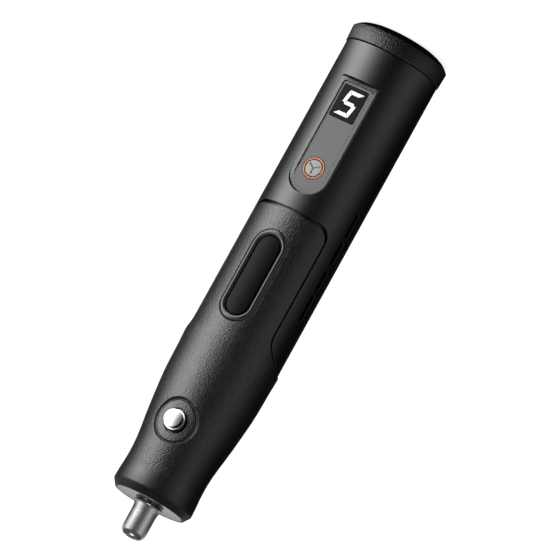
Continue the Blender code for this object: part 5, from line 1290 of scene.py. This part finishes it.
def collet_shape():
    """The collet: a long sleeve with a tapered head."""
    low_z, high_z = low("collet", Z), high("collet", Z)
    bore, sleeve, head, tip, edge = 1.2 * MM, 1.85 * MM, 2.9 * MM, 1.9 * MM, 0.08 * MM
    head_length, flare, land = 3.2 * MM, 1.12 * MM, 0.48 * MM
    head_z = high_z - head_length
    corners = (
        (bore, low_z),
        (sleeve, low_z),
        (sleeve, head_z),
        (head, head_z + flare),
        (head, head_z + flare + land),
        (tip, high_z),
        (bore, high_z),
    )
    return solid(turned(softened(corners, edge, 3), 64))


def slot_across(straight, profile, steps, closed=True):
    """A profile of (radius, z) carried round a slot with round ends that lies across the tool."""
    middles, directions = stadium(straight, steps, steps)
    profile = np.array(profile)[:, None, None]
    ring = across_tool(middles + directions * profile[..., 0])
    return solid(np.concatenate((ring, profile[..., 1] + 0 * ring[..., 0:1]), -1), closed)


def socket_shape():
    """The charging socket's shell, whose lip is rounded by shares of its wall, and its tongue."""
    base, top, radius = low("usb_port", Z), high("usb_port", Z), high("usb_port", Y)
    wall, lip, edge, floor_depth = 0.3 * MM, 0.12 * MM, 0.05 * MM, 1 * MM
    inner, floor = radius - wall, top - floor_depth
    lip_shares = np.array(((0, 1), (0.1, 0.25), (0.5, 0), (0.9, 0.25), (1, 1)))
    back = (
        (radius, top - edge),
        (radius - edge, top),
        (0, top),
        (0, floor),
        (inner - edge, floor),
        (inner, floor - edge),
    )
    profile = np.concatenate(((inner, base) + lip_shares * (wall, lip), back))
    shell_shape = slot_across(high("usb_port", X) - radius, profile, 24)

    tongue, tongue_length, bevel, setback, root = 0.35 * MM, 6.6 * MM, 0.07 * MM, 1 * MM, 0.9 * MM
    start, end = base + setback, top - root
    profile = ((0, start), (tongue - bevel, start), (tongue, start + bevel), (tongue, end), (0, end))
    return shell_shape, slot_across(tongue_length / 2 - tongue, profile, 8, closed=False)


# Operators


FINISHES = {}


def shared(context):
    """The finishes, made once."""
    if not FINISHES:
        FINISHES.update(finishes(context.scene.grinder_colours))
    return FINISHES


class GRINDER_OT_rear_cap(bpy.types.Operator):
    """Builds the rear cap and the charging socket in it"""

    bl_idname = "grinder.rear_cap"
    bl_label = "Rear cap"

    def execute(self, context):
        looks = shared(context)
        sizes = context.scene.grinder_shell
        add_piece("rear_cap_cover", cap_shape(sizes), looks["cap"], "body", "rear_cap", "rear_cap")
        socket, tongue = socket_shape()
        add_piece("socket_shell", socket, looks["nickel"], "body", "nickel", "usb_port")
        add_piece("socket_tongue", tongue, looks["window"], "body", "chip")
        return {"FINISHED"}


class GRINDER_OT_housing(bpy.types.Operator):
    """Builds the satin housing with its pocket and slots"""

    bl_idname = "grinder.housing"
    bl_label = "Housing"

    def execute(self, context):
        sizes = context.scene.grinder_shell
        shape = joined(housing_shape(sizes), seat_shape())
        add_piece("housing_cover", shape, shared(context)["housing"], "body", "housing", "housing")
        return {"FINISHED"}


class GRINDER_OT_grip_sleeve(bpy.types.Operator):
    """Builds the soft grip sleeve"""

    bl_idname = "grinder.grip_sleeve"
    bl_label = "Grip sleeve"

    def execute(self, context):
        shape = grip_shape(context.scene.grinder_shell)
        add_piece("grip_cover", shape, shared(context)["grip"], "body", "grip_sleeve", "grip_sleeve")
        return {"FINISHED"}


class GRINDER_OT_control_panel(bpy.types.Operator):
    """Builds the grey panel, the window and the digit"""

    bl_idname = "grinder.control_panel"
    bl_label = "Control panel"

    def execute(self, context):
        looks = shared(context)
        sizes = context.scene.grinder_front
        plate = joined(panel_shape(sizes), border_shape(sizes))
        add_piece("panel_plate", plate, looks["panel"], "body", "control_panel", "control_panel")
        bottom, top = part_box("display_window")
        window = rounded_box(top.x - bottom.x, top.z - bottom.z, sizes.window_corner, (top.z + bottom.z) / 2)
        lens = plate_shape(dense(window, 0.2 * MM), -bottom.y, top.y - bottom.y, 0.1 * MM)
        add_piece("window_lens", lens, looks["window"], "body", "display_window", "display_window")
        add_piece("display_digit", digit_shape(sizes), looks["digit"], "body", "display_window")
        return {"FINISHED"}


class GRINDER_OT_speed_button(bpy.types.Operator):
    """Builds the speed button and its light ring"""

    bl_idname = "grinder.speed_button"
    bl_label = "Speed button"

    def execute(self, context):
        looks = shared(context)
        cap = button_shape()
        add_piece("button_cap", cap, looks["button"], "speed_button", "speed_button", "speed_button")
        ring = ring_shape(context.scene.grinder_front)
        add_piece("light_ring", ring, looks["ring"], "body", "button_ring", "button_ring")
        return {"FINISHED"}


class GRINDER_OT_badge(bpy.types.Operator):
    """Builds the raised frame in the grip and its bare plate"""

    bl_idname = "grinder.badge"
    bl_label = "Badge"

    def execute(self, context):
        looks = shared(context)
        sizes = context.scene.grinder_front
        add_piece("badge_frame", bezel_shape(sizes), looks["bezel"], "body", "badge_bezel", "badge_bezel")
        add_piece("badge_face", badge_shape(sizes), looks["badge"], "body", "badge_plate", "badge_plate")
        return {"FINISHED"}


class GRINDER_OT_lock_button(bpy.types.Operator):
    """Builds the spindle lock's domed button"""

    bl_idname = "grinder.lock_button"
    bl_label = "Lock button"

    def execute(self, context):
        looks = shared(context)
        add_piece("lock_dome", lock_shape(), looks["chrome"], "lock", "lock_button", "lock_button")
        coil = add_piece("spring_coil", spring_shape(), looks["silver"], None, "lock_spring", "lock_spring")
        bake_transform(coil)
        return {"FINISHED"}


class GRINDER_OT_nose(bpy.types.Operator):
    """Builds the nose plate, the nut and the collet"""

    bl_idname = "grinder.nose"
    bl_label = "Nose"

    def execute(self, context):
        looks = shared(context)
        add_piece("nose_disc", nose_plate_shape(), looks["plate"], "body", "nose_plate", "nose_plate")
        nut = nut_shape(context.scene.grinder_front)
        add_piece("nut_shell", nut, looks["nut"], "nut", "collet_nut", "collet_nut")
        add_piece("collet_sleeve", collet_shape(), looks["silver"], "collet", "collet", "collet")
        return {"FINISHED"}


class GRINDER_OT_inner_parts(bpy.types.Operator):
    """Gives the pieces inside the tool their finishes"""

    bl_idname = "grinder.inner_parts"
    bl_label = "Inner parts"

    def execute(self, context):
        slots = {part["node"]: part["material_slot"] for part in frame["record"]["subparts"]}
        made = {}
        for name, node in frame["nodes"].items():
            slot = slots.get(name)
            if slot not in INNER_FINISHES:
                continue
            if slot not in made:
                colour, roughness, metallic, cell, depth = INNER_FINISHES[slot]
                look = Finish("inner_" + slot, colour, roughness, metallic)
                made[slot] = look.mottle(8 * cell, 0.08).haze(12 * cell, 0.04).grain(cell, depth).made
            for holder in node.material_slots:
                holder.material = made[slot]
        return {"FINISHED"}


# The camera stands where the photographer stood. Its roll lays the tool across the picture.
AZIMUTH = math.radians(-23)
ELEVATION = math.radians(9.5)
ROLL = math.radians(28.93)
LOOK_Z = 87.2 * MM
LOOK_SHIFT = 2.06 * MM
CAMERA_DISTANCE = 3.0
LENS = 600.0

# The wide screen: radii where its floor ring begins, is still dark and is lit, its wall's radius and height,
# its lift off the floor, and its glow away from the strips
SCREEN_INNER = 0.006
SCREEN_DARK = 0.022
SCREEN_LIT = 0.034
SCREEN_RADIUS = 1.0
SCREEN_HEIGHT = 0.8
SCREEN_LIFT = 0.0001
SCREEN_BASE = 0.004

# The nose's screen. A row is height above the nose, share of the key and side strips, share of the back strip
NOSE_SCREEN_RADIUS = 0.04
NOSE_SCREEN_ROWS = ((-0.006, 1, 0), (0.004, 1, 0), (0.0048, 1, 1), (0.024, 1, 1), (0.032, 0, 0), (0.2, 0, 0))
NOSE_SCREEN_BASE = 0.06

# Bearing of each strip's middle, from the front towards +X, and its width, in degrees
KEY_STRIP = (45, 29)
SIDE_STRIP = (-77, 28)
BACK_STRIP = (150, 24)
NOSE_STRIP = (157, 60)

# Each tall lamp's direction from the tool as (x, y), its distance, and its width and height
KEY_LAMP = ((0.682, -0.731), 0.55, (0.1, 0.9))
SIDE_LAMP = ((-0.978, -0.208), 0.55, (0.06, 0.9))
LAMP_HEIGHT = 0.1
TOP_LAMP_HEIGHT = 1.1
TOP_LAMP_SIZE = 0.8
FLOOR_HALF = 6.0
FLOOR_GLOW = 0.85


class GRINDER_OT_stage(bpy.types.Operator):
    """Sets the floor, the lamps, the sky and the camera"""

    bl_idname = "grinder.stage"
    bl_label = "Stage"

    def execute(self, context):
        settings = context.scene.grinder_stage
        scene = context.scene
        to_camera = Vector((
            math.sin(AZIMUTH) * math.cos(ELEVATION),
            -math.cos(AZIMUTH) * math.cos(ELEVATION),
            math.sin(ELEVATION),
        ))
        side = Vector((-math.cos(AZIMUTH), -math.sin(AZIMUTH), 0))
        down = side.cross(to_camera)
        down = down if down.z < 0 else -down
        right = math.sin(ROLL) * down + math.cos(ROLL) * side
        up = math.cos(ROLL) * down - math.sin(ROLL) * side
        target = Vector((0, 0, LOOK_Z)) + side * LOOK_SHIFT
        lens = bpy.data.cameras.new("camera")
        lens.lens = LENS
        camera = placed("camera", lens)
        turn = Matrix((right, up, to_camera)).transposed().to_4x4()
        camera.matrix_world = Matrix.Translation(target + to_camera * CAMERA_DISTANCE) @ turn
        scene.camera = camera
        scene.view_settings.view_transform = "Standard"

        self.lamp("key_strip", settings.key_power, *KEY_LAMP)
        self.lamp("side_strip", settings.side_power, *SIDE_LAMP)
        self.top_lamp(settings.top_power)
        self.reflections(settings)
        self.sky(scene, settings.fill)
        self.floor(settings)
        return {"FINISHED"}

    def lamp(self, name, power, bearing, distance, size):
        """A tall area lamp beside the tool, facing its axis."""
        data = bpy.data.lights.new(name, "AREA")
        data.shape = "RECTANGLE"
        data.size, data.size_y = size
        data.energy = power
        made = placed(name, data)
        out = Vector((*bearing, 0))
        made.rotation_euler = (-out).to_track_quat("-Z", "Y").to_euler()
        made.location = out * distance + Vector((0, 0, LAMP_HEIGHT))
        made.visible_glossy = False

    def reflections(self, settings):
        """Screens that only reflections see. Each is a surface turned round the tool, nearly black but for
        soft upright strips: strength * exp(-((a - middle) / width)^2) at bearing a, times each row's share of
        them: one for the key and side strips, one for the back strip. The wide screen is the floor's ring and
        a wall. The nose has a dimmer one close by, for bare metal."""
        wide = (
            (settings.key_glow, *KEY_STRIP),
            (settings.side_glow, *SIDE_STRIP),
            (settings.back_glow, *BACK_STRIP),
        )
        metal = (
            (settings.metal_key_glow, *KEY_STRIP),
            (settings.metal_side_glow, *SIDE_STRIP),
            (settings.metal_back_glow, *NOSE_STRIP),
        )
        rows = (
            (SCREEN_INNER, SCREEN_LIFT, 0, 0),
            (SCREEN_DARK, SCREEN_LIFT, 0, 0),
            (SCREEN_LIT, SCREEN_LIFT, 1, 1),
            (SCREEN_RADIUS, SCREEN_LIFT, 1, 1),
            (SCREEN_RADIUS, SCREEN_HEIGHT, 1, 1),
        )
        self.screen("wide_screen", rows, wide, SCREEN_BASE)
        rows = [(NOSE_SCREEN_RADIUS, NOSE_Z + rise, *shares) for rise, *shares in NOSE_SCREEN_ROWS]
        self.screen("nose_screen", rows, metal, NOSE_SCREEN_BASE)

    def screen(self, name, rows, strips, base):
        """One such surface. A row is its radius, its height and its two shares of the strips."""
        a = np.linspace(0, TURN, 241)
        r, z, share, back_share = np.array(rows).T[:, :, None]
        glow = base + 0 * share * a
        for (strength, middle, width), part in zip(strips, (share, share, back_share)):
            away = np.abs((a - math.radians(middle) + math.pi) % TURN - math.pi)
            glow += part * strength * np.exp(-((away / math.radians(width)) ** 2))
        points = on_cylinder(a, r, z + 0 * a)
        number = np.arange(glow.size).reshape(glow.shape)
        quads = np.stack((number[:-1, :-1], number[:-1, 1:], number[1:, 1:], number[1:, :-1]), -1)
        mesh = bpy.data.meshes.new(name)
        mesh.from_pydata(points.reshape(-1, 3).tolist(), [], quads.reshape(-1, 4).tolist())
        mesh.attributes.new("glow", "FLOAT", "POINT").data.foreach_set("value", glow.ravel())
        look, tree, shader = principled(name + "_glow")
        source = add_node(tree, "ShaderNodeAttribute", {}, attribute_name="glow").outputs["Fac"]
        feed(tree, shader, {"Base Color": BLACK, "Specular IOR Level": 0.0})
        feed(tree, shader, {"Emission Color": WHITE, "Emission Strength": source})
        mesh.materials.append(look)
        made = placed(name, mesh)
        made.visible_camera = False
        made.visible_diffuse = False
        made.visible_shadow = False
        made.visible_transmission = False

    def top_lamp(self, power):
        """A square lamp over the tool, shining down."""
        data = bpy.data.lights.new("top_lamp", "AREA")
        data.size = TOP_LAMP_SIZE
        data.energy = power
        placed("top_lamp", data).location = (0, 0, TOP_LAMP_HEIGHT)

    def sky(self, scene, fill):
        """White to the camera and in gloss, and a plain fill light to everything else."""
        world = bpy.data.worlds.new("sky")
        scene.world = world
        world.use_nodes = True
        tree = world.node_tree
        values = {"Value": self.seen_directly(tree), "To Min": fill, "To Max": 1.0}
        strength = add_node(tree, "ShaderNodeMapRange", values).outputs["Result"]
        feed(tree, tree.nodes["Background"], {"Color": WHITE, "Strength": strength})

    def seen_directly(self, tree):
        """One for a camera, glossy or transmission ray, and nought for any other."""
        path = add_node(tree, "ShaderNodeLightPath", {})
        output = path.outputs["Is Camera Ray"]
        for name in ("Is Glossy Ray", "Is Transmission Ray"):
            values = {0: output, 1: path.outputs[name]}
            output = add_node(tree, "ShaderNodeMath", values, operation="MAXIMUM").outputs["Value"]
        return output

    def floor(self, settings):
        """A wide floor that is white to the camera, where it isn't in the tool's shadow."""
        half = FLOOR_HALF
        points = [(x, y, 0) for x, y in ((-half, -half), (half, -half), (half, half), (-half, half))]
        mesh = bpy.data.meshes.new("floor")
        mesh.from_pydata(points, [], [(0, 1, 2, 3)])
        made = placed("floor", mesh)
        look, tree, shader = principled("floor_white")
        values = {0: self.seen_directly(tree), 1: FLOOR_GLOW}
        glow = add_node(tree, "ShaderNodeMath", values, operation="MULTIPLY").outputs["Value"]
        feed(tree, shader, {"Base Color": (*settings.floor, 1), "Roughness": 0.9})
        feed(tree, shader, {"Emission Color": WHITE, "Emission Strength": glow})
        mesh.materials.append(look)


class GRINDER_PT_panel(bpy.types.Panel):
    """Lists the grinder's steps in the sidebar"""

    bl_idname = "GRINDER_PT_panel"
    bl_label = "Mini grinder"
    bl_space_type = "VIEW_3D"
    bl_region_type = "UI"
    bl_category = "Grinder"

    def draw(self, context):
        for operator in OPERATORS:
            self.layout.operator(operator.bl_idname)


SETTINGS = {
    "grinder_shell": GrinderShellSizes,
    "grinder_front": GrinderFrontSizes,
    "grinder_colours": GrinderColours,
    "grinder_stage": GrinderStageSettings,
}
OPERATORS = (
    GRINDER_OT_stage,
    GRINDER_OT_rear_cap,
    GRINDER_OT_housing,
    GRINDER_OT_grip_sleeve,
    GRINDER_OT_control_panel,
    GRINDER_OT_speed_button,
    GRINDER_OT_badge,
    GRINDER_OT_lock_button,
    GRINDER_OT_nose,
    GRINDER_OT_inner_parts,
)


def register():
    for made in (*SETTINGS.values(), *OPERATORS, GRINDER_PT_panel):
        bpy.utils.register_class(made)
    for name, group in SETTINGS.items():
        setattr(bpy.types.Scene, name, bpy.props.PointerProperty(type=group))


def unregister():
    for name in SETTINGS:
        delattr(bpy.types.Scene, name)
    for made in reversed((*SETTINGS.values(), *OPERATORS, GRINDER_PT_panel)):
        bpy.utils.unregister_class(made)


def main():
    register()
    for operator in OPERATORS:
        group, name = operator.bl_idname.split(".")
        getattr(getattr(bpy.ops, group), name)()


if __name__ == "__main__":
    main()
